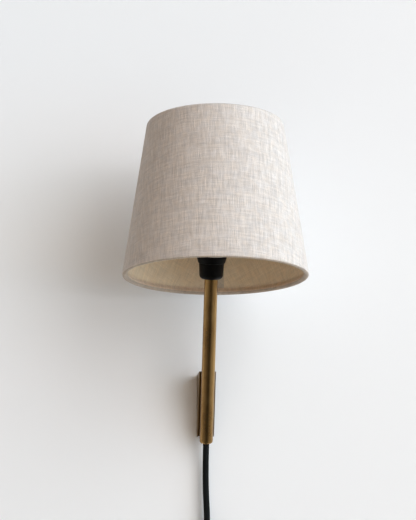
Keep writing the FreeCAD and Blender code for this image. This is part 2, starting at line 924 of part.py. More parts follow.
def make_shade_nut():
    low = SEAT_S + 2 * k.seat_gap + k.carrier_strip
    high = low + k.shade_nut_height
    body = turned(
        "shade_nut_body",
        box_corners(SKIRT_R + k.thread_gap, k.shade_nut_width / 2, low, high),
    )
    notch = new_sketch(body, "XY_Plane", "finger_notch")
    draw_circle(notch, k.shade_nut_notch / 2, k.shade_nut_width / 2, 0)
    first = pocket(body, notch, name="finger_notch_cut")
    ring_pattern(body, first, NUT_NOTCHES)
    piece(body, "shade_nut", in_stem)


# Bulb

BULB_TIP_S = INSULATOR_TOP_S + k.seat_gap + k.contact_rise + k.seat_gap
BULB_CAP_S = BULB_TIP_S + k.bulb_contact_length
BULB_NECK_S = BULB_CAP_S + k.bulb_cap_length
BULB_R = k.bulb_width / 2
BULB_RIDGES = 4
GLOBE_RISE = 0.9  # centre of the globe over its neck's top, in globe radii


def make_bulb():
    tip = turned(
        "bulb_contact_body",
        [
            (0, BULB_TIP_S),
            (k.bulb_contact_width / 2, BULB_TIP_S),
            (k.bulb_contact_width / 2, BULB_CAP_S - k.seat_gap),
            (0, BULB_CAP_S - k.seat_gap),
        ],
    )
    piece(tip, "bulb_contact", in_stem)
    cap_r = k.bulb_cap_width / 2
    root_r = cap_r - k.bulb_thread_depth
    pitch = k.bulb_thread_pitch
    ridges_s = BULB_CAP_S + k.bulb_contact_length * 2
    corners = [(0, BULB_CAP_S), (k.bulb_contact_width / 2, BULB_CAP_S), (root_r, ridges_s)]
    for i in range(BULB_RIDGES):
        base = ridges_s + i * pitch
        corners += [(cap_r, base + pitch / 2), (root_r, base + pitch)]
    corners += [(cap_r, BULB_NECK_S), (0, BULB_NECK_S)]
    piece(turned("bulb_cap_body", corners), "bulb_cap", in_stem)
    make_bulb_glass()


def make_bulb_glass():
    """A globe on a short neck, blown thin."""
    neck_r = k.bulb_neck_width / 2
    low = BULB_NECK_S + k.seat_gap
    shapes = []
    for shrink in (as_size(0), k.bulb_wall):
        globe_r = BULB_R - shrink
        middle = low + k.bulb_neck_length + BULB_R * GLOBE_RISE
        neck = rod(f"glass_neck_{len(shapes)}", neck_r - shrink, middle - low - shrink, (0, 0, low + shrink))
        ball = doc.addObject("Part::Sphere", f"glass_ball_{len(shapes)}")
        bind(ball, "Radius", globe_r)
        put(ball, (0, 0, middle))
        shapes.append(fuse(f"glass_{len(shapes)}", neck, ball))
    piece(cut("bulb_glass", *shapes), "bulb_glass", in_stem)


# Shade carrier, fork and pivot


def make_shade_carrier():
    """A ring on the holder's collar, with one strip bent up each side and over the bulb."""
    body = new_body("shade_carrier_body")
    low = SEAT_S + k.seat_gap
    ring = new_sketch(body, "XY_Plane", "carrier_ring", low)
    draw_circle(ring, k.carrier_ring_width / 2)
    pad(body, ring, k.carrier_strip, both_ways=False, name="ring_pad")
    for name, shrink in (("loop_outside", as_size(0)), ("loop_inside", k.carrier_strip)):
        sketch = new_sketch(body, "XZ_Plane", name)
        draw_arch(sketch, k.carrier_span / 2 - shrink, low + shrink, CARRIER_TOP_S - shrink)
        if shrink.number:
            pocket(body, sketch, k.carrier_ring_width * 2, name=name + "_cut")
        else:
            pad(body, sketch, k.carrier_width, name=name + "_pad")
    hole = new_sketch(body, "XY_Plane", "holder_hole", low)
    draw_circle(hole, SKIRT_R + k.hole_gap)
    pocket(body, hole, 2 * k.carrier_strip, name="holder_hole_cut")
    screw = new_sketch(body, "XY_Plane", "fork_screw_hole", CARRIER_TOP_S)
    draw_circle(screw, k.fork_screw_width / 2 + k.hole_gap)
    pocket(body, screw, 4 * k.carrier_strip, name="fork_screw_cut")
    piece(body, "shade_carrier", in_stem)


def draw_arch(sketch, half, low, high):
    """A flat foot, two upright sides and a half-round top."""
    half, low, high = as_size(half), as_size(low), as_size(high)
    spring = high - half
    w, a, b = half.number, low.number, spring.number
    sketch.addGeometry(Part.LineSegment(Vector(-w, b, 0), Vector(-w, a, 0)), False)
    sketch.addGeometry(Part.LineSegment(Vector(-w, a, 0), Vector(w, a, 0)), False)
    sketch.addGeometry(Part.LineSegment(Vector(w, a, 0), Vector(w, b, 0)), False)
    circle = Part.Circle(Vector(0, b, 0), Vector(0, 0, 1), w)
    sketch.addGeometry(Part.ArcOfCircle(circle, 0, math.pi), False)
    for one, two in ((0, 1), (1, 2)):
        sketch.addConstraint(Sketcher.Constraint("Coincident", one, 2, two, 1))
    sketch.addConstraint(Sketcher.Constraint("Coincident", 2, 2, 3, 1))
    sketch.addConstraint(Sketcher.Constraint("Coincident", 3, 2, 0, 1))
    fix_point(sketch, 1, 1, -half, low)
    fix_point(sketch, 1, 2, half, low)
    fix_point(sketch, 0, 1, -half, spring)
    fix_point(sketch, 2, 2, half, spring)
    made = sketch.addConstraint(Sketcher.Constraint("DistanceY", -1, 1, 3, 3, spring.number))
    sketch.setExpression(f"Constraints[{made}]", spring.text)


FORK_LOW_S = CARRIER_TOP_S + k.seat_gap
EAR_IN_X = k.eye_length / 2 + k.side_gap
EAR_OUT_X = EAR_IN_X + k.fork_ear
EYE_R = k.eye_width / 2


def make_fork():
    body = new_body("fork_body")
    side = new_sketch(body, "YZ_Plane", "fork_side")
    draw(side, box_corners(-EYE_R, EYE_R, FORK_LOW_S, PIVOT_S))
    pad(body, side, 2 * EAR_OUT_X)
    tops = new_sketch(body, "YZ_Plane", "fork_ear_tops")
    draw_circle(tops, EYE_R, 0, PIVOT_S)
    pad(body, tops, 2 * EAR_OUT_X, name="ear_tops")
    gap = new_sketch(body, "XZ_Plane", "fork_gap")
    draw(gap, box_corners(-EAR_IN_X, EAR_IN_X, FORK_LOW_S + k.fork_base, PIVOT_S + k.eye_width))
    pocket(body, gap, name="fork_gap_cut")
    pin = new_sketch(body, "YZ_Plane", "fork_pin_hole")
    draw_circle(pin, k.pivot_width / 2 + k.seat_gap, 0, PIVOT_S)
    pocket(body, pin, name="fork_pin_cut")
    hole = new_sketch(body, "XY_Plane", "fork_base_hole", FORK_LOW_S)
    draw_circle(hole, k.fork_screw_width / 2 + k.hole_gap)
    pocket(body, hole, 3 * k.fork_base, name="fork_base_cut")
    piece(body, "pivot_fork", in_stem)


def make_fork_screw():
    base_top = FORK_LOW_S + k.fork_base
    corner_r = k.fork_nut_width / math.sqrt(3)
    arch_drop = corner_r * corner_r / (k.carrier_span - 2 * k.carrier_strip)
    nut_top = CARRIER_TOP_S - k.carrier_strip - arch_drop - k.seat_gap
    nut_low = nut_top - k.fork_nut_height
    shank_low = nut_low - k.seat_gap
    shank = rod("fork_shank", k.fork_screw_width / 2, base_top - shank_low + k.seat_gap, (0, 0, shank_low))
    head_at = (0, 0, base_top + k.seat_gap)
    head = rod("fork_head", k.fork_screw_head / 2, k.fork_screw_head_height, head_at)
    socket = hex_bar("fork_socket", k.hex_key, k.fork_base * 2, (0, 0, base_top + k.fork_base / 2))
    piece(cut("fork_screw", fuse("fork_screw", shank, head), socket), "fork_screw", in_stem)
    nut = hex_bar("fork_nut_bar", k.fork_nut_width, k.fork_nut_height, (0, 0, nut_low))
    hole_r = k.fork_screw_width / 2 + k.thread_gap
    hole = rod("fork_nut_hole", hole_r, k.fork_nut_height + 2 * PAST, (0, 0, nut_low - PAST))
    piece(cut("fork_nut", nut, hole), "fork_nut", in_stem)


def make_pivot():
    pin_r = k.pivot_width / 2
    seat_x = EAR_OUT_X + k.seat_gap
    left, tall = seat_x + k.pivot_nut_height, k.pivot_head_height
    shank = rod("pivot_shank", pin_r, left + seat_x + k.seat_gap, (-left, 0, PIVOT_S), "x")
    head = rod("pivot_head", k.pivot_head_width / 2, tall, (seat_x, 0, PIVOT_S), "x")
    socket = hex_bar("pivot_socket", k.hex_key, tall, (EAR_OUT_X + tall / 2, 0, PIVOT_S), "x")
    piece(cut("pivot_screw", fuse("pivot_screw", shank, head), socket), "pivot_screw", in_stem)
    nut = hex_bar("pivot_nut_bar", k.pivot_nut_width, k.pivot_nut_height, (-left, 0, PIVOT_S), "x")
    hole_at = (-left - PAST, 0, PIVOT_S)
    hole = rod("pivot_nut_hole", pin_r + k.thread_gap, k.pivot_nut_height + 2 * PAST, hole_at, "x")
    piece(cut("pivot_nut", nut, hole), "pivot_nut", in_stem)


# Shade

BOTTOM_R = k.shade_bottom / 2
TOP_R = k.shade_top / 2
TAPER = (BOTTOM_R - TOP_R) / k.shade_height  # radius lost per millimetre of height


def cone_r(height):
    """The linen's outer radius at a height in the shade frame."""
    return BOTTOM_R - height * TAPER


def make_linen():
    """The linen cover, turned in at both rims to hold the ring wires."""
    thick, lip, reach = k.linen_thick, k.hem_width, k.hem_height
    top = k.shade_height
    body = turned(
        "shade_linen_body",
        [
            (cone_r(as_size(0)), 0),
            (cone_r(top), top),
            (cone_r(top) - lip, top),
            (cone_r(top - reach) - lip, top - reach),
            (cone_r(top - reach) - lip + thick, top - reach),
            (cone_r(top - thick) - lip + thick, top - thick),
            (cone_r(top - thick) - thick, top - thick),
            (cone_r(thick) - thick, thick),
            (cone_r(thick) - lip + thick, thick),
            (cone_r(reach) - lip + thick, reach),
            (cone_r(reach) - lip, reach),
            (cone_r(as_size(0)) - lip, 0),
        ],
    )
    round_edges(
        body,
        k.ring_wire / 2,
        lambda edge, mid: edge.BoundBox.ZLength < 0.01
        and (abs(mid.z) < 0.01 or abs(mid.z - k.shade_height.number) < 0.01),
    )
    slot = new_sketch(body, "YZ_Plane", "arm_slot")
    half = k.spider_arm_width / 2 + k.side_gap
    draw(slot, box_corners(-half, half, top - reach - 1, top - k.ring_wire / 2))
    feature = body.newObject("PartDesign::Pocket", "arm_slot_cut")
    feature.Profile = slot
    bind(feature, "Length", TOP_R - k.hem_width + k.linen_thick * 2)
    feature.Reversed = True
    ring_pattern(body, feature, 3)
    piece(body, "shade_linen", in_shade)


def make_liner():
    low, high = k.linen_thick + k.fit_gap, k.shade_height - k.linen_thick - k.fit_gap
    outside = k.linen_thick + k.fit_gap
    inside = outside + k.liner_thick
    body = turned(
        "shade_liner_body",
        [
            (cone_r(low) - inside, low),
            (cone_r(low) - outside, low),
            (cone_r(high) - outside, high),
            (cone_r(high) - inside, high),
        ],
    )
    piece(body, "shade_liner", in_shade)


RING_IN = k.linen_thick + k.fit_gap + k.liner_thick + k.fit_gap + k.ring_wire / 2 * 1.02
RING_RISE = k.linen_thick + k.fit_gap + k.ring_wire / 2


def make_ring_wires():
    """A wire in each rim, closed to a ring."""
    for name, height in (("bottom_ring", RING_RISE), ("top_ring", k.shade_height - RING_RISE)):
        body = new_body(f"{name}_body")
        section = new_sketch(body, "XZ_Plane", f"{name}_section")
        draw_circle(section, k.ring_wire / 2, cone_r(height) - RING_IN, height)
        turn(body, section)
        piece(body, name, in_shade)


def make_spider():
    """The eye that hangs on the pivot, a disc over the fork, and three strips out to the top ring."""
    body = new_body("spider_body")
    pivot = k.pivot_above_rim
    disc_low = pivot + k.spider_disc_rise
    disc_high = disc_low + k.spider_disc_thick
    disc_r = k.spider_disc_width / 2
    disc = new_sketch(body, "XY_Plane", "spider_disc", disc_low)
    draw_circle(disc, disc_r)
    pad(body, disc, k.spider_disc_thick, both_ways=False, name="disc")
    ring_z = k.shade_height - RING_RISE
    arm_end = cone_r(ring_z) - RING_IN - k.ring_wire / 2 - k.seat_gap
    thick = k.spider_arm_thick
    arm = new_sketch(body, "XZ_Plane", "spider_arm")
    draw(
        arm,
        [
            (disc_r - thick, disc_high - thick),
            (disc_r + thick, disc_high - thick),
            (arm_end, ring_z - thick / 2),
            (arm_end, ring_z + thick / 2),
            (disc_r - thick, disc_high),
        ],
    )
    first = pad(body, arm, k.spider_arm_width, name="arm")
    ring_pattern(body, first, 3)
    neck = new_sketch(body, "YZ_Plane", "spider_neck")
    draw(neck, box_corners(-EYE_R + 1, EYE_R - 1, pivot, disc_low + k.spider_disc_thick / 2))
    pad(body, neck, k.eye_length, name="neck")
    eye = new_sketch(body, "YZ_Plane", "spider_eye")
    draw_circle(eye, EYE_R, 0, pivot)
    pad(body, eye, k.eye_length, name="eye")
    bore = new_sketch(body, "YZ_Plane", "spider_bore")
    draw_circle(bore, k.pivot_width / 2 + k.run_gap, 0, pivot)
    pocket(body, bore, 2 * k.eye_length, name="bore")
    piece(body, "spider", in_shade)


# Tubes that follow a line


def mid_of(start, corner, end):
    """The middle of the round arc that leaves start towards corner and comes to end from it."""
    into, out = corner - start, end - corner
    weight = math.cos(into.getAngle(out) / 2)
    return (start + corner * (2 * weight) + end) / (2 + 2 * weight)


def arc_to(start, corner, end):
    return Part.Arc(start, mid_of(start, corner, end), end).toShape()


def tube_along(edges, radius):
    """One unbroken round tube along joined lines and arcs."""
    path = Part.Wire(edges)
    start = edges[0].valueAt(edges[0].FirstParameter)
    heading = edges[0].tangentAt(edges[0].FirstParameter)
    ring = Part.Wire(Part.makeCircle(radius, start, heading))
    tube = path.makePipeShell([ring], True, False)
    wanted = math.pi * radius * radius * path.Length
    if abs(tube.Volume / wanted - 1) > 0.002:
        raise RuntimeError(f"tube volume {tube.Volume:.0f}, section times length {wanted:.0f}")
    return tube


def free_route(name, points):
    """A cord's free stretch: straight runs, joined by arcs as large as the runs allow."""
    edges = []
    radii = []
    start = points[0]
    for before, corner, after in zip(points, points[1:], points[2:]):
        into, out = corner - before, after - corner
        half_turn = into.getAngle(out) / 2
        reach = 0.45 * min(into.Length, out.Length)
        radii.append(reach / math.tan(half_turn))
        arc_start = corner - into * (reach / into.Length)
        arc_end = corner + out * (reach / out.Length)
        edges.append(Part.makeLine(start, arc_start))
        edges.append(arc_to(arc_start, corner, arc_end))
        start = arc_end
    edges.append(Part.makeLine(start, points[-1]))
    length = sum(edge.Length for edge in edges)
    print(f"{name}: {length:.1f} mm long, radii {[round(r) for r in radii]}")
    made = doc.addObject("Part::Feature", f"{name}_tube")
    made.Shape = tube_along(edges, CORD_R.number)
    piece(made, name)


# Flex, seen part: out of the foot, down the wall with a slight drift to the right, into the switch

FOOT = Vector(0, -SIZES["foot_off_wall"], -SIZES["foot_drop"])
SWITCH_TOP_Z = -(k.foot_drop + k.switch_drop)
SWITCH_LOW_Z = SWITCH_TOP_Z - k.switch_height
CORD_Y = -k.switch_off_wall
HANG_Z = -k.foot_drop - (k.foot_off_wall - k.switch_off_wall) / TAN
COIL_TOP_RUN = 33.0  # last upright run before the coil
COIL_SLANT = 46.5  # fall of the slanting run between the switch and the coil
IN_SWITCH = 6.0  # length of flex inside each end of the switch
DRIFT_FROM, DRIFT_TO = 34.0, 60.0  # where the flex drifts to the right, below its first corner


def make_flex():
    y, x = CORD_Y.number, SIZES["cord_drift"]
    hang, top = HANG_Z.number, SWITCH_TOP_Z.number
    free_route(
        "flex_upper",
        [
            FOOT,
            Vector(0, y, hang),
            Vector(0, y, hang - DRIFT_FROM),
            Vector(x, y, hang - DRIFT_TO),
            Vector(x, y, top - IN_SWITCH),
        ],
    )
    low = SWITCH_LOW_Z.number
    corner_z = low + IN_SWITCH - COIL_TOP_RUN
    free_route(
        "flex_lower",
        [
            Vector(x, y, low + IN_SWITCH),
            Vector(x, y, corner_z),
            Vector(SIZES["coil_radius"], BACK_LAYER_Y, corner_z - COIL_SLANT),
            Vector(SIZES["coil_radius"], BACK_LAYER_Y, COIL_Z + SIZES["coil_lead"]),
        ],
    )


# Coil: half turns in the back layer inwards, one that climbs to the front layer, and out again

BACK_LAYER_Y = -(SIZES["cord_width"] / 2 + SIZES["tie_thick"] + 2 * SIZES["tie_gap"])
FRONT_LAYER_Y = BACK_LAYER_Y - SIZES["coil_step"]
COIL_Z = SWITCH_LOW_Z.number + IN_SWITCH - 2 * COIL_TOP_RUN - COIL_SLANT - SIZES["coil_lead"]
HALF_TURNS_IN = 6
HALF_TURNS_OUT = 7
RELIEF_BELOW = 12.0  # coil's middle to the top of the strain relief
RELIEF_TOP_Z = COIL_Z - RELIEF_BELOW
PLUG_TOP_Z = RELIEF_TOP_Z - SIZES["plug_relief_length"]


def coil_route():
    """The coil's line, from above its right side round to its tail, and where the tail runs."""
    step = SIZES["coil_step"] / 2
    x, radius, y = SIZES["coil_radius"], SIZES["coil_radius"], BACK_LAYER_Y
    edges = [Part.makeLine(Vector(x, y, COIL_Z + SIZES["coil_lead"]), Vector(x, y, COIL_Z))]
    down = True
    for half in range(HALF_TURNS_IN + 1 + HALF_TURNS_OUT):
        far = x - 2 * radius if down else x + 2 * radius
        start = Vector(x, y, COIL_Z)
        if half == HALF_TURNS_IN:
            end = Vector(far, FRONT_LAYER_Y, COIL_Z)
            fall = Vector(0, 0, -(end - start).Length / 2)
            bottom = (start + end) / 2 + fall
            edges += [arc_to(start, start + fall, bottom), arc_to(bottom, end + fall, end)]
            y = FRONT_LAYER_Y
        else:
            middle = Vector((x + far) / 2, y, COIL_Z + (-radius if down else radius))
            edges.append(Part.Arc(start, middle, Vector(far, y, COIL_Z)).toShape())
        radius += -step if half < HALF_TURNS_IN else step
        x = far
        down = not down
    edges.append(Part.makeLine(Vector(x, y, COIL_Z), Vector(x, y, PLUG_TOP_Z + SIZES["seat_gap"])))
    return edges, x


def least_gap(edges, width):
    """The smallest gap of a coil to itself, measured between points along its line."""
    spots = []
    run = 0.0
    for edge in edges:
        count = max(2, int(edge.Length / 2))
        first, last = edge.FirstParameter, edge.LastParameter
        for i in range(count):
            spots.append((run + edge.Length * i / count, edge.valueAt(first + (last - first) * i / count)))
        run += edge.Length
    best = min(
        (one - two).Length
        for i, (here, one) in enumerate(spots)
        for there, two in spots[i + 1 :]
        if there - here > 6 * width
    )
    return best - width


def make_coil():
    edges, tail_x = coil_route()
    width = SIZES["cord_width"]
    length = sum(edge.Length for edge in edges)
    print(f"flex_coil: {length:.0f} mm long, least gap to itself {least_gap(edges, width):.2f} mm")
    made = doc.addObject("Part::Feature", "flex_coil_tube")
    made.Shape = tube_along(edges, width / 2)
    piece(made, "flex_coil")
    make_tie()
    make_plug(tail_x)


def make_tie():
    """A strap round the bundle at the coil's top."""
    step, gap, thick = k.coil_step / 2, k.tie_gap, k.tie_thick
    inner_turn = k.coil_radius - step * (HALF_TURNS_IN - 1)
    outer_turn = k.coil_radius - step * HALF_TURNS_IN + step * HALF_TURNS_OUT
    low = COIL_Z + inner_turn - CORD_R - 4 * gap
    high = COIL_Z + outer_turn + CORD_R + gap
    near, far = BACK_LAYER_Y + CORD_R + gap, FRONT_LAYER_Y - CORD_R - gap
    body = new_body("coil_tie_body")
    outside = new_sketch(body, "YZ_Plane", "tie_outside")
    draw(outside, box_corners(far - thick, near + thick, low - thick, high + thick))
    pad(body, outside, k.tie_width)
    round_edges(body, thick * 2, lambda edge, mid: abs(mid.x) < 0.01)
    inside = new_sketch(body, "YZ_Plane", "tie_inside")
    draw(inside, box_corners(far, near, low, high))
    pocket(body, inside, name="tie_opening")
    piece(body, "coil_tie")


# Switch on the flex


def in_switch(item):
    """Place a piece that is drawn in the switch's own frame, whose origin is its middle."""
    return put(item, (k.cord_drift, -k.switch_off_wall, SWITCH_TOP_Z - k.switch_height / 2))


SWITCH_HALF_X = k.switch_width / 2
SWITCH_HALF_Y = k.switch_thick / 2
SWITCH_HALF_Z = k.switch_height / 2
ROCKER_Y = -(SWITCH_HALF_Y - k.switch_wall - k.rocker_pin_width / 2 - k.side_gap)
POST_X = SWITCH_HALF_X - k.switch_wall - k.post_width / 2 + k.side_gap
POST_Z = SWITCH_HALF_Z - k.switch_wall - k.post_width


def switch_shell(name, back):
    """One half of the switch's case, with its cord notches."""
    body = new_body(f"{name}_body")
    outline = new_sketch(body, "XZ_Plane", f"{name}_outline")
    draw(outline, box_corners(-SWITCH_HALF_X, SWITCH_HALF_X, -SWITCH_HALF_Z, SWITCH_HALF_Z))
    half = pad(body, outline, SWITCH_HALF_Y - k.seat_gap / 2, both_ways=False, name="half")
    half.Reversed = back
    round_edges(
        body,
        k.switch_round,
        lambda edge, mid: edge.BoundBox.XLength < 0.01 and edge.BoundBox.ZLength < 0.01,
        "corner_rounding",
    )
    round_edges(
        body,
        k.switch_round / 2,
        lambda edge, mid: abs(abs(mid.y) - (SWITCH_HALF_Y - k.seat_gap / 2).number) < 0.01,
        "face_rounding",
    )
    hollow = new_sketch(body, "XZ_Plane", f"{name}_hollow")
    inner_x, inner_z = SWITCH_HALF_X - k.switch_wall, SWITCH_HALF_Z - k.switch_wall
    draw(hollow, box_corners(-inner_x, inner_x, -inner_z, inner_z))
    pocket(body, hollow, SWITCH_HALF_Y - k.seat_gap / 2 - k.switch_wall, both_ways=False, back=not back)
    posts = new_sketch(body, "XZ_Plane", f"{name}_posts")
    for side in (-1, 1):
        draw_circle(posts, k.post_width / 2, side * POST_X, side * POST_Z)
    post = pad(body, posts, SWITCH_HALF_Y - k.switch_wall, both_ways=False, name="posts")
    post.Reversed = back
    ways = new_sketch(body, "XY_Plane", f"{name}_cord_way")
    draw_circle(ways, CORD_HOLE_R)
    pocket(body, ways, name="cord_way_cut")
    return body


def screw_holes(name, radius, far):
    """Tools for the two screw holes, from the middle plane to a depth."""
    return [
        rod(f"{name}_{i}", radius, far, (side * POST_X, 0, side * POST_Z), "y")
        for i, side in enumerate((-1, 1))
    ]


def make_switch():
    shank_r = k.switch_screw / 2
    back = switch_shell("switch_back", True)
    head_y = SWITCH_HALF_Y - k.switch_wall / 2 - k.seat_gap
    through = screw_holes("back_hole", shank_r + k.hole_gap, SWITCH_HALF_Y + PAST)
    sinks = [
        rod(f"back_sink_{i}", k.switch_screw + k.hole_gap, 4, (side * POST_X, head_y, side * POST_Z), "y")
        for i, side in enumerate((-1, 1))
    ]
    piece(cut("switch_back", back, *through, *sinks), "switch_back", in_switch)

    front = switch_shell("switch_front", False)
    depth = SWITCH_HALF_Y - 2 * k.switch_wall
    blind = [
        rod(f"front_hole_{i}", shank_r + k.thread_gap, depth, (side * POST_X, -depth, side * POST_Z), "y")
        for i, side in enumerate((-1, 1))
    ]
    half_x, half_z = k.rocker_width / 2 + k.side_gap, k.rocker_height / 2 + 2 * k.side_gap
    opening = block(
        "rocker_opening",
        (-half_x, -SWITCH_HALF_Y - PAST, -half_z),
        (half_x, -k.switch_wall, half_z),
    )
    pin_r = k.rocker_pin_width / 2
    ears = []
    for i, side in enumerate((-1, 1)):
        near, far = half_x + k.side_gap / 2, half_x + k.switch_wall
        low_x, high_x = (near, far) if side > 0 else (-far, -near)
        ears.append(
            block(
                f"rocker_ear_{i}",
                (low_x, -SWITCH_HALF_Y + k.switch_wall / 2, -k.rocker_pin_width),
                (high_x, ROCKER_Y + k.rocker_pin_width, k.rocker_pin_width),
            )
        )
    hole_from = (-SWITCH_HALF_X + k.switch_wall * 2, ROCKER_Y, 0)
    pin_hole = rod("ear_hole", pin_r + k.seat_gap, k.switch_width, hole_from, "x")
    shaped = cut("switch_front_open", front, *blind, opening)
    bored = doc.addObject("Part::Cut", "ears_bored")
    bored.Base = fuse("rocker_ears", *ears)
    bored.Tool = pin_hole
    piece(fuse("switch_front", shaped, bored), "switch_front", in_switch)

    pin_half = half_x + k.switch_wall
    pin = rod("rocker_pin_bar", pin_r, 2 * pin_half, (-pin_half, ROCKER_Y, 0), "x")
    piece(group("rocker_pin", pin), "rocker_pin", in_switch)

    screws = []
    for i, side in enumerate((-1, 1)):
        at_x, at_z = side * POST_X, side * POST_Z
        reach = SWITCH_HALF_Y - 2.5 * k.switch_wall
        shank = rod(f"case_shank_{i}", shank_r, reach + head_y + k.seat_gap, (at_x, -reach, at_z), "y")
        head_at = (at_x, head_y + k.seat_gap, at_z)
        head = rod(f"case_head_{i}", k.switch_screw, k.switch_wall / 2, head_at, "y")
        screws.append(fuse(f"case_screw_{i}", shank, head))
    piece(group("switch_screws", *screws), "switch_screws", in_switch)

    strips = []
    floor_y = SWITCH_HALF_Y - k.switch_wall - k.seat_gap
    for i, side in enumerate((-1, 1)):
        middle = side * k.contact_width
        half = k.contact_width / 2 - k.side_gap
        strips.append(
            block(
                f"switch_strip_{i}",
                (middle - half, floor_y - 2 * k.contact_thick, -k.rocker_height / 2),
                (middle + half, floor_y, k.rocker_height / 2),
            )
        )
    piece(group("switch_contacts", *strips), "switch_contacts", in_switch)
    make_rocker(pin_r)


ROCKER_FOOT = 0.6  # height of the rocker's inner side over its face


def make_rocker(pin_r):
    body = new_body("switch_rocker_body")
    half = k.rocker_height / 2
    face = -(SWITCH_HALF_Y + k.rocker_stand / 2) - ROCKER_Y
    side = new_sketch(body, "YZ_Plane", "rocker_side")
    draw(
        side,
        [
            (k.rocker_pin_width, -half * ROCKER_FOOT),
            (k.rocker_pin_width, half * ROCKER_FOOT),
            (face / 2, half),
            (face, half),
            (face + k.rocker_stand / 3, 0),
            (face, -half),
            (face / 2, -half),
        ],
    )
    pad(body, side, k.rocker_width)
    bore = new_sketch(body, "YZ_Plane", "rocker_bore")
    draw_circle(bore, pin_r + k.run_gap)
    pocket(body, bore, name="rocker_bore_cut")
    tilted = put(body, (0, ROCKER_Y, 0), (1, 0, 0), k.rocker_throw / -2)
    piece(group("switch_rocker", tilted), "switch_rocker", in_switch)


# Plug

SHOULDER_WIDE, SHOULDER_DROP = 0.78, 0.4  # the body's shoulder, in its width and its length
PIN_ROOT = 0.75  # where the pins start inside the body, in its length
SLEEVED_PIN = 0.8  # radius of a pin inside its sleeve, over its bare radius
PIN_NOSE = 0.6  # radius of a pin's flat tip, over its bare radius
RELIEF_RIBS = 5
GROOVE_FROM, GROOVE_TO = 0.45, 0.85  # a groove's edges in one rib's length


def make_plug(tail_x):
    def in_plug(item):
        return put(item, (tail_x, FRONT_LAYER_Y, PLUG_TOP_Z))

    body = new_body("plug_body_body")
    sections = []
    for i, (width, thick, drop) in enumerate(
        (
            (k.plug_neck_width, k.plug_neck_thick, as_size(0)),
            (k.plug_width * SHOULDER_WIDE, k.plug_thick, k.plug_length * SHOULDER_DROP),
            (k.plug_width, k.plug_thick, k.plug_length),
        )
    ):
        section = new_sketch(body, "XY_Plane", f"plug_section_{i}", -drop)
        draw(section, box_corners(-width / 2, width / 2, -thick / 2, thick / 2))
        sections.append(section)
    loft = body.newObject("PartDesign::AdditiveLoft", "plug_loft")
    loft.Profile = sections[0]
    loft.Sections = sections[1:]
    loft.Ruled = True
    round_edges(
        body,
        k.plug_thick / 5,
        lambda edge, mid: edge.BoundBox.ZLength > 1,
        "plug_corner_rounding",
    )
    pin_r = k.pin_width / 2
    root = k.plug_length * PIN_ROOT
    hole_low = -root - k.plug_length
    holes = [
        rod(f"plug_hole_{i}", pin_r + k.seat_gap, k.plug_length, (side * k.pin_spacing / 2, 0, hole_low))
        for i, side in enumerate((-1, 1))
    ]
    piece(cut("plug_body", body, *holes), "plug_body", in_plug)

    tip = k.plug_length + k.pin_length
    bare = k.plug_length + k.pin_sleeve
    slim_r, nose_r = pin_r * SLEEVED_PIN, pin_r * PIN_NOSE
    pins, sleeves = [], []
    for i, side in enumerate((-1, 1)):
        pin = turned(
            f"plug_pin_{i}",
            [
                (0, -tip),
                (nose_r, -tip),
                (pin_r, -tip + nose_r),
                (pin_r, -bare),
                (slim_r, -bare),
                (slim_r, -root - k.seat_gap),
                (0, -root - k.seat_gap),
            ],
        )
        pins.append(put(pin, (side * k.pin_spacing / 2, 0, 0)))
        sleeve = turned(
            f"plug_sleeve_{i}",
            box_corners(slim_r + k.seat_gap, pin_r, -bare + k.seat_gap, -root - k.seat_gap),
        )
        sleeves.append(put(sleeve, (side * k.pin_spacing / 2, 0, 0)))
    piece(group("plug_pins", *pins), "plug_pins", in_plug)
    piece(group("plug_pin_sleeves", *sleeves), "plug_pin_sleeves", in_plug)

    length, ribs = k.plug_relief_length - k.seat_gap, RELIEF_RIBS
    wide, narrow = k.plug_relief_wide / 2, k.plug_relief_narrow / 2
    groove = (narrow - CORD_HOLE_R) / 2
    corners = [(CORD_HOLE_R, k.seat_gap), (wide, k.seat_gap)]
    for i in range(ribs):
        radius = wide + (narrow - wide) * ((i + 0.5) / ribs)
        low, high = length * ((i + GROOVE_FROM) / ribs), length * ((i + GROOVE_TO) / ribs)
        corners += [(radius, low), (radius - groove, low), (radius - groove, high), (radius, high)]
    corners += [(narrow, length), (CORD_HOLE_R, length)]
    piece(turned("plug_relief_body", corners), "plug_relief", in_plug)


for make in (
    make_wall_plate,
    make_bracket_cover,
    make_grub_screws,
    make_tube_screws,
    make_stem_tube,
    make_foot_cap,
    make_cord_grip,
    make_nut_bar,
    make_top_bush,
    make_nipple,
    make_stem_flex,
    make_holder_cap,
    make_holder_skirt,
    make_insulator,
    make_terminals,
    make_screw_shell,
    make_centre_contact,
    make_shade_nut,
    make_bulb,
    make_shade_carrier,
    make_fork,
    make_fork_screw,
    make_pivot,
    make_linen,
    make_liner,
    make_ring_wires,
    make_spider,
    make_flex,
    make_coil,
    make_switch,
):
    make()

doc.recompute()

faults = [
    f"{item.Name} ({item.Label}): {item.State}"
    for item in doc.Objects
    if "Invalid" in item.State or "Error" in item.State
]
for name, item in pieces.items():
    if item.Shape.isNull() or not item.Shape.isValid() or not item.Shape.Solids:
        faults.append(f"{name}: bad shape")
if faults:
    raise RuntimeError("; ".join(faults))

os.makedirs("parts", exist_ok=True)
for name, item in pieces.items():
    item.Shape.exportStep(f"parts/{name}.step")
    print(f"{name}: {len(item.Shape.Solids)} solid(s), {item.Shape.Volume:.1f} mm3")
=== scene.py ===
"""Looks of the fabric shade wall light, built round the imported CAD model.

Metres, in the model's own frame: the wall is the plane y = 0, the lamp is on its -Y side, +Z is up.
Sizes are written in millimetres and become metres by MM.
"""

import json
import math

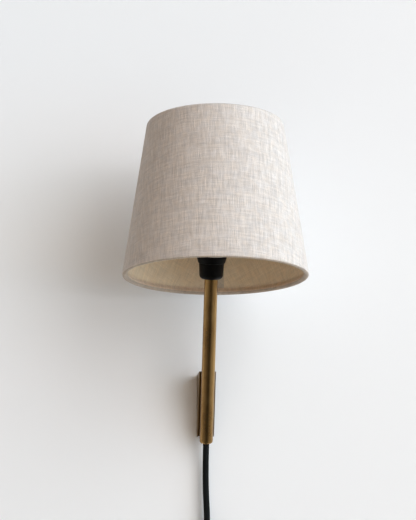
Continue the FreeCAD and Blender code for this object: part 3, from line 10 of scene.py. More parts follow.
import bpy
import numpy as np
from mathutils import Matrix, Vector


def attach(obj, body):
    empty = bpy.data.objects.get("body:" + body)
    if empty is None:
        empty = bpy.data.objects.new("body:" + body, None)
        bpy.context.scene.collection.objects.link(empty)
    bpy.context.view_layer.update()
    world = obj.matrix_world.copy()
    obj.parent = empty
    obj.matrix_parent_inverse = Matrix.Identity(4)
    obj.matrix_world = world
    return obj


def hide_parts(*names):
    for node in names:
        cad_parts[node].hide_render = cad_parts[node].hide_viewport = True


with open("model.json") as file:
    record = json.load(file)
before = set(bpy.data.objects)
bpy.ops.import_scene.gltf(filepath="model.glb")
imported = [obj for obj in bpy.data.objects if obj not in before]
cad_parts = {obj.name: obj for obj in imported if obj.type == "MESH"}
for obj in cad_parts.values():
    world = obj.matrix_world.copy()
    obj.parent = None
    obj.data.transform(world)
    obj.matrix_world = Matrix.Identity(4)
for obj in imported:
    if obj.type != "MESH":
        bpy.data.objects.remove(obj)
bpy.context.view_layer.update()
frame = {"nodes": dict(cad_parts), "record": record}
NODES = frame["nodes"]
MM = 0.001

# Sizes and places in millimetres, the shade's place from its joint and the others from the part's source

tilt = next(joint for joint in frame["record"]["behaviour"]["joints"] if joint["name"] == "shade_tilt")
_, SHADE_AXIS_Y, PIVOT_Z = (x / MM for x in tilt["pos_m"])
LEAN = math.radians(20.0)
PIVOT_ABOVE_RIM = 156.0
RIM_Z = PIVOT_Z - PIVOT_ABOVE_RIM
SHADE_HEIGHT = 170.0
RIM_R = 100.0
TOP_R = 75.0
HEM_THICK = 5.6
HEM_HEIGHT = 8.0
LINEN_THICK = 0.8
LINER_THICK = 0.5
CORD_WIDTH = 7.0

# The cone that the cloth is cut for, and its seam

SLANT = math.hypot(RIM_R - TOP_R, SHADE_HEIGHT)
HALF_CONE_SINE = (RIM_R - TOP_R) / SLANT
HALF_CONE_COSINE = SHADE_HEIGHT / SLANT
FRONT_TURN = math.radians(-90.0)
SEAM_TURN = math.radians(79.0)  # place of the seam at the back, a little to the right
SEAM_LAP = math.radians(4.7)  # turn over which the cloth lies double
SEAM_EDGE = (SEAM_TURN + SEAM_LAP - FRONT_TURN - 2 * math.pi) * HALF_CONE_SINE  # the lap's end, laid flat


# Materials


class Nodes:
    """A node tree, with short calls for the nodes it needs."""

    def __init__(self, tree):
        self.tree = tree

    def node(self, kind, inputs=None, **settings):
        made = self.tree.nodes.new(kind)
        for key, value in settings.items():
            setattr(made, key, value)
        for key, value in (inputs or {}).items():
            self.feed(made.inputs[key], value)
        return made

    def feed(self, socket, value):
        """Link an input to another node's output, or give it a plain value."""
        if isinstance(value, bpy.types.NodeSocket):
            self.tree.links.new(value, socket)
        elif isinstance(value, tuple) and len(value) == 3 and socket.type == "RGBA":
            socket.default_value = (*value, 1.0)
        else:
            socket.default_value = value

    def math(self, operation, *values):
        return self.node("ShaderNodeMath", dict(enumerate(values)), operation=operation).outputs[0]

    def vector(self, operation, a, b):
        return self.node("ShaderNodeVectorMath", {0: a, 1: b}, operation=operation).outputs[0]

    def joined(self, x, y):
        return self.node("ShaderNodeCombineXYZ", {0: x, 1: y}).outputs[0]

    def apart(self, vector):
        return self.node("ShaderNodeSeparateXYZ", {0: vector}).outputs

    def stretch(self, vector, x, y, z):
        return self.vector("MULTIPLY", vector, (x, y, z))

    def noise(self, vector, scale=1.0, detail=3.0, rough=0.55):
        made = self.node("ShaderNodeTexNoise", {"Vector": vector, "Scale": scale, "Detail": detail})
        made.inputs["Roughness"].default_value = rough
        return made.outputs["Fac"]

    def spread(self, value, low, high, to_low=0.0, to_high=1.0):
        """Map a value's range to another, held to its ends."""
        made = self.node("ShaderNodeMapRange", {"Value": value})
        for name, number in zip(("From Min", "From Max", "To Min", "To Max"), (low, high, to_low, to_high)):
            made.inputs[name].default_value = number
        return made.outputs["Result"]

    def mix(self, factor, a, b, blend="MIX"):
        made = self.node("ShaderNodeMix", data_type="RGBA", blend_type=blend)
        for index, value in ((0, factor), (6, a), (7, b)):
            self.feed(made.inputs[index], value)
        return made.outputs[2]

    def ramp(self, value, stops):
        """A colour read from stops of (place, colour), the first at 0 and the last at 1."""
        made = self.node("ShaderNodeValToRGB", {"Fac": value})
        made.color_ramp.interpolation = "EASE"
        elements = made.color_ramp.elements
        elements[0].color = (*stops[0][1], 1.0)
        for place, colour in stops[1:-1]:
            elements.new(place).color = (*colour, 1.0)
        elements[-1].color = (*stops[-1][1], 1.0)
        return made.outputs["Color"]


class Finish(Nodes):
    """A material built on one Principled shader."""

    def __init__(self, name):
        self.material = bpy.data.materials.new(name)
        self.material.use_nodes = True
        super().__init__(self.material.node_tree)
        self.shader = self.tree.nodes["Principled BSDF"]

    def place(self):
        return self.node("ShaderNodeTexCoord").outputs["Object"]

    def stem_place(self):
        """Object coordinates turned so that Z runs along the stem."""
        turned = self.node("ShaderNodeVectorRotate", {"Vector": self.place()}, rotation_type="X_AXIS")
        turned.inputs["Angle"].default_value = -LEAN
        return turned.outputs[0]

    def cloth(self):
        """The map of the meshes made below, in metres or in shares of the way round."""
        return self.node("ShaderNodeUVMap", uv_map="cloth").outputs[0]

    def bump(self, height, distance, strength):
        inputs = {"Height": height, "Distance": distance, "Strength": strength}
        return self.node("ShaderNodeBump", inputs).outputs[0]

    def set(self, **inputs):
        for key, value in inputs.items():
            self.feed(self.shader.inputs[key.replace("_", " ")], value)


def aged_metal(name, bright, dull, roughness, along_stem=True):
    """A brushed metal with fine lines along the stem, darker patches and soft wear."""
    f = Finish(name)
    place = f.stem_place() if along_stem else f.place()
    lines = f.noise(f.stretch(place, 2600, 2600, 60), detail=2)
    patches = f.noise(f.stretch(place, 70, 70, 26), detail=5, rough=0.6)
    specks = f.noise(place, scale=900, detail=2)
    tone = f.math("ADD", f.math("MULTIPLY", patches, 0.75), f.math("MULTIPLY", lines, 0.25))
    colour = f.mix(f.spread(tone, 0.38, 0.62), dull, bright)
    colour = f.mix(f.spread(specks, 0.62, 0.75, 0, 0.35), colour, dull)
    rough = f.math("ADD", roughness, f.math("MULTIPLY", f.math("SUBTRACT", patches, 0.5), 0.35))
    f.set(Base_Color=colour, Metallic=1.0, Roughness=rough)
    f.set(Normal=f.bump(lines, 0.02 * MM, 0.5))
    return f.material


def moulded_plastic(name, colour, roughness, shine=0.2):
    """Moulded plastic with a fine grain and a faint flow of tone."""
    f = Finish(name)
    place = f.place()
    grain = f.noise(place, scale=2400, detail=2)
    cloud = f.noise(place, scale=60, detail=3)
    lighter = tuple(x * 1.5 + 0.001 for x in colour)
    f.set(Base_Color=f.mix(cloud, colour, lighter), Specular_IOR_Level=shine)
    f.set(Roughness=f.spread(grain, 0.3, 0.7, roughness - 0.06, roughness + 0.08))
    f.set(Normal=f.bump(grain, 0.03 * MM, 0.6))
    return f.material


def glazed(name, colour, roughness, coat):
    """Ceramic or smooth insulation with a clear coat and a cloudy tone."""
    f = Finish(name)
    cloud = f.noise(f.place(), scale=160, detail=3)
    ripple = f.noise(f.place(), scale=500, detail=2)
    darker = tuple(x * 0.86 for x in colour)
    f.set(Base_Color=f.mix(f.spread(cloud, 0.35, 0.65), darker, colour), Coat_Weight=coat)
    f.set(Roughness=f.spread(cloud, 0.3, 0.7, roughness, roughness + 0.12))
    f.set(Normal=f.bump(ripple, 0.02 * MM, 0.4))
    return f.material


def woven(f, across, along, pitch):
    """A plain weave: height of the cloth, and the number and height of the thread each way."""
    a = f.math("DIVIDE", across, pitch)
    b = f.math("DIVIDE", along, pitch)
    heights = []
    counts = []
    for mine, other, turn in ((a, b, 0.0), (b, a, 1.0)):
        count = f.math("FLOOR", mine)
        crown = f.math("ABSOLUTE", f.math("SINE", f.math("MULTIPLY", mine, math.pi)))
        phase = f.math("MULTIPLY", f.math("ADD", f.math("ADD", other, count), turn), math.pi)
        lift = f.math("MULTIPLY_ADD", f.math("SINE", phase), 0.4, 0.6)
        heights.append(f.math("MULTIPLY", crown, lift))
        counts.append(count)
    return f.math("MAXIMUM", *heights), counts, heights


LINEN_PITCH = 1.05 * MM
THREAD_DRIFT = 2.2 * MM  # width of the band in which a thread wanders
COOL_TINT = (0.975, 0.985, 1.0)
WARM_TINT = (1.0, 0.975, 0.945)


def thread_tone(f, count, run, spacing):
    """A tone that changes slowly along each thread and jumps from one to the next."""
    line = f.joined(f.math("MULTIPLY", count, spacing), f.math("MULTIPLY", run, 60))
    return f.noise(line, detail=2, rough=0.45)


def linen_finish(name, colour, dark, slub, depth=0.16, seam=None):
    """Slubby plain weave linen, its threads each a little different in tone and thickness.

    Dark is the gap between threads, slub the strength of their tones and depth the bump in millimetres.
    The seam is a strip of the given tint along the map's left edge, where two layers overlap.
    """
    f = Finish(name)
    uv = f.cloth()
    place = f.apart(uv)
    drift = f.noise(f.stretch(uv, 90, 90, 90), detail=2)
    wander = f.math("MULTIPLY", f.math("SUBTRACT", drift, 0.5), THREAD_DRIFT)
    across = f.math("ADD", place[0], wander)
    along = f.math("SUBTRACT", place[1], wander)
    height, counts, heights = woven(f, across, along, LINEN_PITCH)
    warp = thread_tone(f, counts[0], along, 3.7)
    weft = thread_tone(f, counts[1], across, 5.3)
    warp_on_top = f.math("GREATER_THAN", heights[0], heights[1])
    thread = f.mix(f.spread(warp_on_top, 0, 1, 0.45, 0.8), weft, warp)
    slubs = f.noise(f.stretch(uv, 20, 330, 1), detail=3, rough=0.5)
    cloud = f.noise(f.stretch(uv, 45, 45, 1), detail=2)
    broad = f.math("ADD", f.math("MULTIPLY", slubs, 0.75), f.math("MULTIPLY", cloud, 0.25))
    tone = f.math("ADD", f.math("MULTIPLY", thread, 0.78), f.math("MULTIPLY", broad, 0.22))
    low = tuple(x * (1 - 0.42 * slub) for x in colour)
    high = tuple(min(0.93, x * (1 + 0.16 * slub)) for x in colour)
    lit = f.mix(f.spread(tone, 0.36, 0.64), low, high)
    tint = f.noise(f.stretch(uv, 130, 130, 1), detail=3, rough=0.6)
    lit = f.mix(1.0, lit, f.mix(f.spread(tint, 0.38, 0.62), COOL_TINT, WARM_TINT), "MULTIPLY")
    body = f.mix(f.spread(height, 0.1, 0.62), dark, lit)
    if seam:
        turn = f.math("ARCTAN2", place[0], place[1])
        double = f.mix(1.0, body, seam, "MULTIPLY")
        body = f.mix(f.math("LESS_THAN", turn, SEAM_EDGE), body, double)
    f.set(Base_Color=body, Roughness=0.92, Sheen_Weight=0.2, Sheen_Roughness=0.5, Specular_IOR_Level=0.25)
    rise = f.math("ADD", height, f.math("MULTIPLY", thread, 0.9))
    f.set(Normal=f.bump(rise, depth * MM, 0.8))
    return f.material


BRAID_PITCH = 2.6 * MM
BRAID_THREADS = 10.0  # round the cord, each way


def braid_finish(name, colour, light):
    """A cotton braid: two sets of threads that cross round the cord."""
    f = Finish(name)
    place = f.apart(f.cloth())
    along = f.math("DIVIDE", place[0], BRAID_PITCH)
    around = f.math("MULTIPLY", place[1], BRAID_THREADS)
    height, counts, _ = woven(f, f.math("ADD", along, around), f.math("SUBTRACT", along, around), 1.0)
    line = f.joined(f.math("MULTIPLY", counts[0], 1.9), f.math("MULTIPLY", counts[1], 2.3))
    gap = tuple(x * 0.25 for x in colour)
    body = f.mix(f.spread(height, 0.05, 0.75), gap, f.mix(f.noise(line, detail=2), colour, light))
    f.set(Base_Color=body, Roughness=0.85, Sheen_Weight=0.02, Specular_IOR_Level=0.2)
    f.set(Normal=f.bump(height, 0.3 * MM, 0.8))
    return f.material


def plain_braid(name, colour, light):
    """The same braid for the CAD flex inside the stem, which has no map of its own."""
    f = Finish(name)
    place = f.stretch(f.stem_place(), 500, 500, 500)
    weave = f.node("ShaderNodeTexWave", {"Vector": place, "Scale": 0.8, "Distortion": 1.5}).outputs["Fac"]
    f.set(Base_Color=f.mix(weave, colour, light), Roughness=0.85, Normal=f.bump(weave, 0.2 * MM, 0.6))
    return f.material


def frosted_glass(name):
    f = Finish(name)
    frost = f.noise(f.place(), scale=1500, detail=3)
    f.set(Base_Color=(0.9, 0.89, 0.86), Transmission_Weight=0.35, IOR=1.45)
    f.set(Roughness=f.spread(frost, 0.3, 0.7, 0.42, 0.55), Normal=f.bump(frost, 0.02 * MM, 0.5))
    return f.material


BRASS = aged_metal("brass", (0.50, 0.315, 0.125), (0.30, 0.17, 0.062), 0.30)
# Painted shade: the bracket's brass in darker colours, as if shaded by the stem in front of it and reflecting
# a dark room
SHADED_BRASS = aged_metal("brass_bracket_painted_shade", (0.26, 0.165, 0.07), (0.14, 0.08, 0.032), 0.36)
ZINC = aged_metal("zinc_steel", (0.62, 0.62, 0.60), (0.42, 0.42, 0.41), 0.33, along_stem=False)
NICKEL = aged_metal("nickel", (0.66, 0.63, 0.57), (0.50, 0.47, 0.42), 0.22, along_stem=False)
COPPER = aged_metal("bare_copper", (0.72, 0.34, 0.19), (0.45, 0.19, 0.10), 0.35, along_stem=False)
TERMINAL = aged_metal("terminal_brass", (0.72, 0.52, 0.23), (0.5, 0.34, 0.14), 0.3, along_stem=False)
BLACK = moulded_plastic("black_plastic", (0.0022, 0.0022, 0.0024), 0.42, shine=0.1)
LEAD_PLASTIC = moulded_plastic("black_lead_plastic", (0.011, 0.011, 0.012), 0.36)
STRAP = moulded_plastic("tie_strap", (0.016, 0.016, 0.017), 0.6)
WHITE_WIRE = glazed("white_wire", (0.78, 0.77, 0.74), 0.35, coat=0.2)
CERAMIC = glazed("white_ceramic", (0.80, 0.79, 0.76), 0.22, coat=0.5)
GLASS = frosted_glass("frosted_glass")
LINEN = linen_finish("linen", (0.85, 0.76, 0.70), (0.36, 0.30, 0.25), slub=0.72)
# Painted shade: the same linen darker, for the cover's round edges where the cloth rolls under its wires
RIM_PAINTED_SHADE = linen_finish("linen_rim_painted_shade", (0.50, 0.41, 0.33), (0.26, 0.21, 0.17), slub=0.7)
FOLD = linen_finish("linen_fold", (0.85, 0.66, 0.50), (0.52, 0.40, 0.30), slub=0.6)
SEAM_TINT = (0.72, 0.76, 0.84)
LINER = linen_finish("liner", (0.82, 0.66, 0.47), (0.62, 0.49, 0.34), slub=0.5, depth=0.06, seam=SEAM_TINT)
BRAID = braid_finish("black_braid", (0.0055, 0.0062, 0.0068), (0.014, 0.0155, 0.017))
STEM_BRAID = plain_braid("black_braid_inside", (0.009, 0.010, 0.011), (0.022, 0.024, 0.026))

FINISHES = {
    "brass": BRASS,
    "black_plastic": BLACK,
    "zinc_steel": ZINC,
    "nickel": NICKEL,
    "bare_copper": COPPER,
    "terminal_brass": TERMINAL,
    "white_wire": WHITE_WIRE,
    "white_ceramic": CERAMIC,
    "frosted_glass": GLASS,
    "linen": LINEN,
    "liner": LINER,
    "black_braid": STEM_BRAID,
}

for part in frame["record"]["subparts"]:
    for slot in NODES[part["node"]].material_slots:
        slot.material = FINISHES[part["material_slot"]]
# The bracket cover takes the brass with painted shade
NODES["bracket_cover"].material_slots[0].material = SHADED_BRASS
for name in ("switch_back", "switch_front", "switch_rocker", "plug_body", "plug_relief"):
    NODES[name].material_slots[0].material = LEAD_PLASTIC


# Meshes


def mesh_piece(name, points, faces, material, uv=None, smooth=True):
    """A mesh object from points in millimetres, with a map if one is given."""
    mesh = bpy.data.meshes.new(name)
    mesh.from_pydata([tuple(MM * x for x in p) for p in points], [], faces)
    if uv is not None:
        layer = mesh.uv_layers.new(name="cloth")
        layer.data.foreach_set("uv", np.asarray(uv, float).ravel())
    mesh.polygons.foreach_set("use_smooth", [smooth] * len(mesh.polygons))
    mesh.materials.append(material)
    mesh.validate()
    made = bpy.data.objects.new(name, mesh)
    bpy.context.scene.collection.objects.link(made)
    return made


# Shade

SEGMENTS = 360
LAP_FADE = 9.0  # length over which the lapped layer sinks back to the cone
RIPPLE_ORDERS = (3, 5, 8, 13, 21, 34, 55)
RIPPLE_SHEAR = 70.0  # height over which a ripple moves round by one radian
RIPPLE_SEED = 7
ROUND_FROM = 0.5  # depth from which the cloth is on its round edge
FOLD_FROM = 2.6  # distance from the edge at which the fold behind it starts


def cone_radius(height):
    return RIM_R - (RIM_R - TOP_R) * height / SHADE_HEIGHT


def cone_points(profile, ripple, lap):
    """A ring of points for each (offset inwards, height), rippled between the rims and lapped at the seam."""
    turns = np.linspace(SEAM_TURN, SEAM_TURN + 2 * math.pi, SEGMENTS, endpoint=False)
    rng = np.random.default_rng(RIPPLE_SEED)
    waves = [(n, rng.uniform(0, 2 * math.pi), rng.uniform(0.3, 1.0) / n**0.5) for n in RIPPLE_ORDERS]
    points = []
    for offset, height in profile:
        free = math.sin(math.pi * min(max(height / SHADE_HEIGHT, 0), 1))
        shear = height / RIPPLE_SHEAR
        for turn in turns:
            swell = sum(size * math.sin(n * (turn + shear) + phase) for n, phase, size in waves)
            radius = cone_radius(height) - offset / HALF_CONE_COSINE + ripple * free * swell / 3
            past = (turn - SEAM_TURN) * radius
            if past < LAP_FADE:
                radius += lap * (1 - past / LAP_FADE)
            points.append((radius * math.cos(turn), SHADE_AXIS_Y + radius * math.sin(turn), RIM_Z + height))
    return points


def laid_flat(height, step):
    """A point's place on the cloth laid flat: the sector that the cone unrolls to, upright at the front."""
    slant = cone_radius(height) / HALF_CONE_SINE
    turn = SEAM_TURN + 2 * math.pi * step / SEGMENTS
    laid = (turn - FRONT_TURN - 2 * math.pi) * HALF_CONE_SINE
    return slant * MM * math.sin(laid), slant * MM * math.cos(laid)


def cone_shell(name, profile, materials, ripple, lap):
    """Turn a closed profile of (offset inwards, height) about the shade's axis.

    The first material covers it, and the two after it, if given, the round edges, where the linen is painted
    in shade, and the folds behind.
    """
    faces, uv = [], []
    rows = len(profile)
    for row in range(rows):
        low, high = row, (row + 1) % rows
        for i in range(SEGMENTS):
            j = (i + 1) % SEGMENTS
            faces.append((low * SEGMENTS + i, low * SEGMENTS + j, high * SEGMENTS + j, high * SEGMENTS + i))
            for r, step in ((low, i), (low, i + 1), (high, i + 1), (high, i)):
                uv.append(laid_flat(profile[r][1], step))
    made = mesh_piece(name, cone_points(profile, ripple, lap), faces, materials[0], uv)
    if len(materials) > 1:
        for material in materials[1:]:
            made.data.materials.append(material)
        bands = [hem_band(profile[row], profile[(row + 1) % rows]) for row in range(rows)]
        made.data.polygons.foreach_set("material_index", np.repeat(bands, SEGMENTS))
    return made


def hem_band(a, b):
    """0 on the outside of the cover, 1 on its round edges, where the linen is painted in shade, 2 on the
    folds behind them and between those.
    """
    depth = min(a[0], b[0])
    height = (a[1] + b[1]) / 2
    if depth < ROUND_FROM:
        return 0
    return 1 if min(height, SHADE_HEIGHT - height) < FOLD_FROM else 2


def arc(centre, radius, start, end, steps):
    """Points of (offset, height) on a circle's arc, angles in degrees from straight inwards."""
    turns = np.radians(np.linspace(start, end, steps))
    return [(centre[0] + radius * math.cos(t), centre[1] + radius * math.sin(t)) for t in turns]


FOLD_END = LINEN_THICK + 0.6  # offset at which the turned edge ends
FOLD_STEP = 0.4  # height from that end to the plain inside
LINER_FROM = LINEN_THICK + 0.05  # offset of the lining's outer face
LINER_INSET = HEM_HEIGHT + 0.1  # height of the lining's edges over the rims
OUTSIDE_ROWS, INSIDE_ROWS, LINER_ROWS = 60, 50, 40
ROUND_ROWS, FOLD_ROWS = 14, 8


def fold_back(start, end):
    """The cloth's turned edge, from its wire back to the wall of the shade."""
    reach = HEM_THICK - FOLD_END
    points = []
    for share in np.linspace(0.0, 1.0, FOLD_ROWS + 1)[1:]:
        eased = 0.5 - 0.5 * math.cos(math.pi * share)
        points.append((HEM_THICK - reach * eased, start + (end - start) * share))
    return points


def linen_profile():
    """The cover's closed outline: down outside, round the lower wire, up inside, over the upper wire."""
    half = HEM_THICK / 2
    inside_from = HEM_HEIGHT + FOLD_STEP
    outside = [(0.0, h) for h in np.linspace(SHADE_HEIGHT - half, half, OUTSIDE_ROWS)]
    low_round = arc((half, half), half, 180, 360, ROUND_ROWS)[1:]
    low_fold = fold_back(half, HEM_HEIGHT)
    inside = [(LINEN_THICK, h) for h in np.linspace(inside_from, SHADE_HEIGHT - inside_from, INSIDE_ROWS)]
    high_fold = [(offset, SHADE_HEIGHT - height) for offset, height in reversed(low_fold)]
    high_round = arc((half, SHADE_HEIGHT - half), half, 0, 180, ROUND_ROWS)[:-1]
    return outside + low_round + low_fold + inside + high_fold + high_round


def liner_profile():
    """The lining's closed outline, between the two folds."""
    low, high = LINER_INSET, SHADE_HEIGHT - LINER_INSET
    outer = [(LINER_FROM, h) for h in np.linspace(high, low, LINER_ROWS)]
    inner = [(LINER_FROM + LINER_THICK, h) for h in np.linspace(low, high, LINER_ROWS)]
    return outer + inner


linen = cone_shell("linen_cover", linen_profile(), (LINEN, RIM_PAINTED_SHADE, FOLD), ripple=0.12, lap=0.45)
liner = cone_shell("shade_lining", liner_profile(), (LINER,), ripple=0.0, lap=0.0)
for piece, node, slot in ((linen, "shade_linen", "linen"), (liner, "shade_liner", "liner")):
    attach(piece, "shade")
    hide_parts(node)


# Flex

COIL_CENTRE = -304.5
BACK_Y, FRONT_Y = -5.3, -12.9
COIL_R = 48.0  # of the first half turn
COIL_STEP = 3.8  # from one half turn's radius to the next
HALF_TURNS_IN = 6
NURBS_SHRINK = 0.981  # the curve's radius over that of its control points
STEPS = 8  # control points in a half turn


def coil_points():
    """Control points of the coil: half turns that wind in against the wall and out again in front."""
    steps_in = [*range(HALF_TURNS_IN + 1), *range(HALF_TURNS_IN - 1, -2, -1)]
    points, x = [], COIL_R
    for half, step_in in enumerate(steps_in):
        radius = COIL_R - COIL_STEP * step_in
        reach = radius / NURBS_SHRINK
        side = 1 if half % 2 == 0 else -1
        centre = x - side * radius
        for step in range(STEPS):
            share = (step + 0.5) / STEPS
            turn = math.pi * share
            depth = BACK_Y if half < HALF_TURNS_IN else FRONT_Y
            if half == HALF_TURNS_IN:
                depth = BACK_Y + (FRONT_Y - BACK_Y) * share
            across = centre + side * reach * math.cos(turn)
            points.append((across, depth, COIL_CENTRE - side * reach * math.sin(turn)))
        x = centre - side * radius
    return points, x


COIL, TAIL_X = coil_points()
FLEX_EXIT = (0.0, -15.0, -43.5)
SWITCH_RUN = [(1.5, -8.8, -140.0), (1.5, -7.6, -154.0), (1.5, -7.6, -168.0), (1.5, -8.8, -182.0)]
ROUTE = [
    FLEX_EXIT,
    (0.0, -8.8, -60.534),
    (0.0, -8.8, -94.534),
    (1.5, -8.8, -120.534),
    *SWITCH_RUN,
    (1.5, -8.8, -215.0),
    (48.0, -5.3, -261.5),
    (48.0, -5.3, -294.5),
    *COIL,
    (TAIL_X, FRONT_Y, COIL_CENTRE - 10.0),
    (TAIL_X, FRONT_Y, -342.45),
]


def nurbs_line(name, route, resolution=10):
    """Points in millimetres, read from one smooth NURBS spline that has the route as its control points."""
    data = bpy.data.curves.new(name, "CURVE")
    data.dimensions = "3D"
    data.resolution_u = resolution
    spline = data.splines.new("NURBS")
    spline.points.add(len(route) - 1)
    for point, place in zip(spline.points, route):
        point.co = (*[MM * x for x in place], 1.0)
    spline.order_u = 3
    spline.use_endpoint_u = True
    holder = bpy.data.objects.new(name, data)
    bpy.context.scene.collection.objects.link(holder)
    depsgraph = bpy.context.evaluated_depsgraph_get()
    mesh = bpy.data.meshes.new_from_object(holder.evaluated_get(depsgraph))
    line = np.array([v.co for v in mesh.vertices], float) / MM
    bpy.data.meshes.remove(mesh)
    bpy.data.objects.remove(holder)
    bpy.data.curves.remove(data)
    return line


def evenly(line, step):
    """The same line with points at equal steps, and their places along it."""
    lengths = np.concatenate([[0.0], np.cumsum(np.linalg.norm(np.diff(line, axis=0), axis=1))])
    places = np.linspace(0.0, lengths[-1], int(lengths[-1] / step) + 1)
    return np.stack([np.interp(places, lengths, line[:, i]) for i in range(3)], axis=1), places


def directions(line):
    """The line's unit direction at each of its points."""
    ways = np.gradient(line, axis=0)
    return ways / np.linalg.norm(ways, axis=1)[:, None]


def skin(name, rings, places, material):
    """A closed skin over rings of points. Its map is the length along and the share of the way round."""
    count = len(rings[0])
    faces, uv = [], []
    for ring in range(len(rings) - 1):
        a, b = ring * count, (ring + 1) * count
        for i in range(count):
            j = (i + 1) % count
            faces.append((a + i, a + j, b + j, b + i))
            for r, step in ((ring, i), (ring, i + 1), (ring + 1, i + 1), (ring + 1, i)):
                uv.append((places[r] * MM, step / count))
    for ring, order in ((0, range(count - 1, -1, -1)), (len(rings) - 1, range(count))):
        faces.append(tuple(ring * count + i for i in order))
        uv.extend([(places[ring] * MM, 0.0)] * count)
    return mesh_piece(name, [point for ring in rings for point in ring], faces, material, uv)


def tube_rings(line, radius, sides=16):
    """Round rings along a line, their frame carried along without twist."""
    ways = directions(line)
    side = np.cross(ways[0], (1.0, 0.0, 0.0))
    rings = []
    for place, way in zip(line, ways):
        side = side - way * np.dot(side, way)
        side /= np.linalg.norm(side)
        other = np.cross(way, side)
        turns = [2 * math.pi * i / sides for i in range(sides)]
        rings.append([place + radius * (math.cos(t) * side + math.sin(t) * other) for t in turns])
    return rings


FLEX_STEP = 2.0
flex_line, flex_places = evenly(nurbs_line("flex_route", ROUTE), FLEX_STEP)
flex = skin("flex", tube_rings(flex_line, CORD_WIDTH / 2), flex_places, BRAID)
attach(flex, "root")
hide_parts("flex_upper", "flex_lower", "flex_coil")


# Tie of the coil

TIE_LOW, TIE_HIGH = -281.4, -247.7
TIE_BACK, TIE_FRONT = -0.3, -17.9
TIE_WIDE, TIE_THICK = 8.0, 1.2
TIE_CORNER = 3.0
TIE_STEP = 0.8


def strap_rings(line, wide, thick):
    """Flat rings with rounded edges along a line in the plane across the wall."""
    outline = []
    for sign in (1, -1):
        for turn in np.radians(np.linspace(-75, 75, 5)):
            across = (wide - thick + thick * math.cos(turn)) / 2
            outline.append((sign * across, sign * thick / 2 * math.sin(turn)))
    rings = []
    for place, way in zip(line, directions(line)):
        out = np.cross(way, (1.0, 0.0, 0.0))
        rings.append([place + np.array((across, 0.0, 0.0)) + lift * out for across, lift in outline])
    return rings


def tie_line():
    """Round the bundle once, over its own start in front, and off it in a short free end."""
    low, high = TIE_LOW + TIE_THICK / 2, TIE_HIGH - TIE_THICK / 2
    back, front = TIE_BACK - TIE_THICK / 2, TIE_FRONT + TIE_THICK / 2
    over = TIE_THICK + 0.1  # from one layer to the one on top of it
    r = TIE_CORNER
    cut = r * 0.3  # how far a corner's middle point stays inside the corner
    route = [
        (front, low + 12.0),
        (front, low + r),
        (front + cut, low + cut),
        (front + r, low),
        (back - r, low),
        (back - cut, low + cut),
        (back, low + r),
        (back, high - r),
        (back - cut, high - cut),
        (back - r, high),
        (front + r, high),
        (front + cut - over * 0.3, high - cut),
        (front - over * 0.7, high - r),
        (front - over, low + 16.0),
        (front - over, low + 8.0),
        (front - over - 0.8, low + 2.0),
        (front - over - 2.2, low - 4.0),
    ]
    return nurbs_line("tie_route", [(0.0, y, z) for y, z in route], 8)


tie_points, tie_places = evenly(tie_line(), TIE_STEP)
tie = skin("tie_strap", strap_rings(tie_points, TIE_WIDE, TIE_THICK), tie_places, STRAP)
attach(tie, "root")
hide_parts("coil_tie")


# Stage: wall, floor, lights, sky and camera, in millimetres

STAGE_HALF = 4000.0
STAGE_TOP = 3000.0
FLOOR_Z = -1200.0
FLOOR_FRONT = -2200.0
WALL_Y = 0.4
LIGHT_AIM = (0.0, -60.0, 150.0)
LIGHT_DISTANCE = 5500.0
WINDOW_SKY = (1.57, 2.25, 2.76)  # from the right
ROOM_SKY = (0.40, 0.28, 0.19)  # from the front
PALE_GROUND = (0.86, 0.86, 0.86)
MIRRORED_SKY = (  # seen by metal, from left to right
    (0.0, (0.36, 0.338, 0.31)),
    (0.30, (0.12, 0.11, 0.096)),
    (0.50, (0.035, 0.029, 0.020)),
    (0.62, (0.035, 0.029, 0.020)),
    (0.78, (0.26, 0.24, 0.215)),
    (0.92, (0.45, 0.42, 0.38)),
    (1.0, (0.34, 0.32, 0.29)),
)
CAMERA_AT = (-125.0, -1474.0, -162.3)
CAMERA_LOOKS_UP = math.radians(12.72)
CAMERA_TURNS = math.radians(-4.98)
LENS = 89.3
SENSOR_HEIGHT = 36.0


def paint(name, colour, mirrored=True):
    """Matt paint with a faint roller texture, clear when seen from behind, and in metal if not mirrored."""
    f = Finish(name)
    roll = f.noise(f.place(), scale=220, detail=3)
    f.set(Base_Color=colour, Roughness=0.9, Specular_IOR_Level=0.15)
    f.set(Normal=f.bump(roll, 0.12 * MM, 0.5))
    clear = f.node("ShaderNodeBsdfTransparent")
    hidden = f.node("ShaderNodeNewGeometry").outputs["Backfacing"]
    if not mirrored:
        hidden = f.math("MAXIMUM", hidden, f.node("ShaderNodeLightPath").outputs["Is Glossy Ray"])
    both = f.node("ShaderNodeMixShader", {0: hidden})
    f.feed(both.inputs[1], f.shader.outputs[0])
    f.feed(both.inputs[2], clear.outputs[0])
    f.feed(f.tree.nodes["Material Output"].inputs[0], both.outputs[0])
    return f.material


def stage_plane(name, first, second, material):
    """A plane as wide as the stage, between two edges given by their (y, z)."""
    corners = [(-STAGE_HALF, *first), (STAGE_HALF, *first), (STAGE_HALF, *second), (-STAGE_HALF, *second)]
    mesh_piece(name, corners, [(0, 1, 2, 3)], material, smooth=False)


def window_light(name, azimuth, elevation, wide, high, power, colour):
    """An area light aimed at the shade: direction in degrees, sizes in metres, power in watts."""
    data = bpy.data.lights.new(name, "AREA")
    data.shape = "RECTANGLE"
    data.size = wide
    data.size_y = high
    data.energy = power
    data.color = colour
    light = bpy.data.objects.new(name, data)
    a, e = math.radians(azimuth), math.radians(elevation)
    way = Vector((math.sin(a) * math.cos(e), -math.cos(a) * math.cos(e), math.sin(e)))
    light.location = MM * (Vector(LIGHT_AIM) + LIGHT_DISTANCE * way)
    light.rotation_euler = (-way).to_track_quat("-Z", "Y").to_euler()
    light.visible_glossy = False
    bpy.context.scene.collection.objects.link(light)


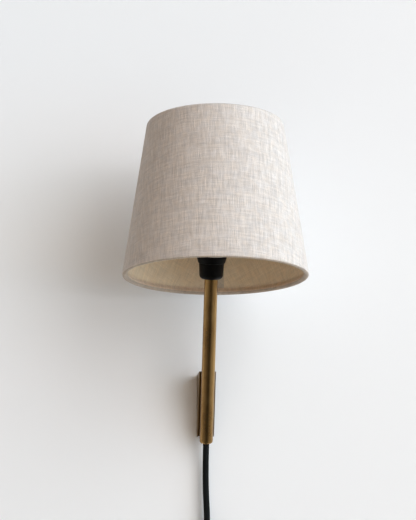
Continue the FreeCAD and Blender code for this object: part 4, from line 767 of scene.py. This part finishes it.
def sky():
    """A room with a window on the right: bright and cool there, dim and warm in front.

    Metal sees it pale at both sides with a dark stripe between, and the camera sees a plain pale ground.
    """
    world = bpy.data.worlds.new("room")
    world.use_nodes = True
    bpy.context.scene.world = world
    s = Nodes(world.node_tree)
    way = s.node("ShaderNodeTexCoord").outputs["Generated"]
    lobes = []
    for side, colour in (((1, 0, 0), WINDOW_SKY), ((0, -1, 0), ROOM_SKY)):
        share = s.node("ShaderNodeVectorMath", {0: way, 1: side}, operation="DOT_PRODUCT").outputs["Value"]
        lobes.append(s.vector("MULTIPLY", s.math("MAXIMUM", share, 0.0), colour))
    room = s.vector("ADD", *lobes)
    mirrored = s.ramp(s.spread(s.apart(way)[0], -1.0, 1.0), MIRRORED_SKY)
    path = s.node("ShaderNodeLightPath")
    seen = s.mix(path.outputs["Is Glossy Ray"], room, mirrored)
    seen = s.mix(path.outputs["Is Camera Ray"], seen, PALE_GROUND)
    s.feed(world.node_tree.nodes["Background"].inputs["Color"], seen)


def photo_camera():
    """The photo's own view, as fitted to the outlines of shade, stem and bracket."""
    data = bpy.data.cameras.new("camera")
    data.sensor_fit = "VERTICAL"
    data.sensor_height = SENSOR_HEIGHT
    data.lens = LENS
    camera = bpy.data.objects.new("camera", data)
    camera.location = MM * Vector(CAMERA_AT)
    camera.rotation_euler = (math.pi / 2 + CAMERA_LOOKS_UP, 0.0, CAMERA_TURNS)
    bpy.context.scene.collection.objects.link(camera)
    bpy.context.scene.camera = camera


WALL_PAINT = paint("wall_paint", (0.90, 0.90, 0.90))
FLOOR_PAINT = paint("floor_paint", (0.78, 0.70, 0.60), mirrored=False)
stage_plane("wall", (WALL_Y, FLOOR_Z), (WALL_Y, STAGE_TOP), WALL_PAINT)
stage_plane("floor", (FLOOR_FRONT, FLOOR_Z), (WALL_Y, FLOOR_Z), FLOOR_PAINT)
window_light("window_high", 35.0, 22.0, 3.8, 5.7, 133.0, (0.98, 0.90, 0.84))
window_light("window_low", 52.0, 2.0, 4.1, 2.5, 36.0, (1.0, 0.82, 0.85))
sky()
photo_camera()
bpy.context.scene.view_settings.view_transform = "Standard"
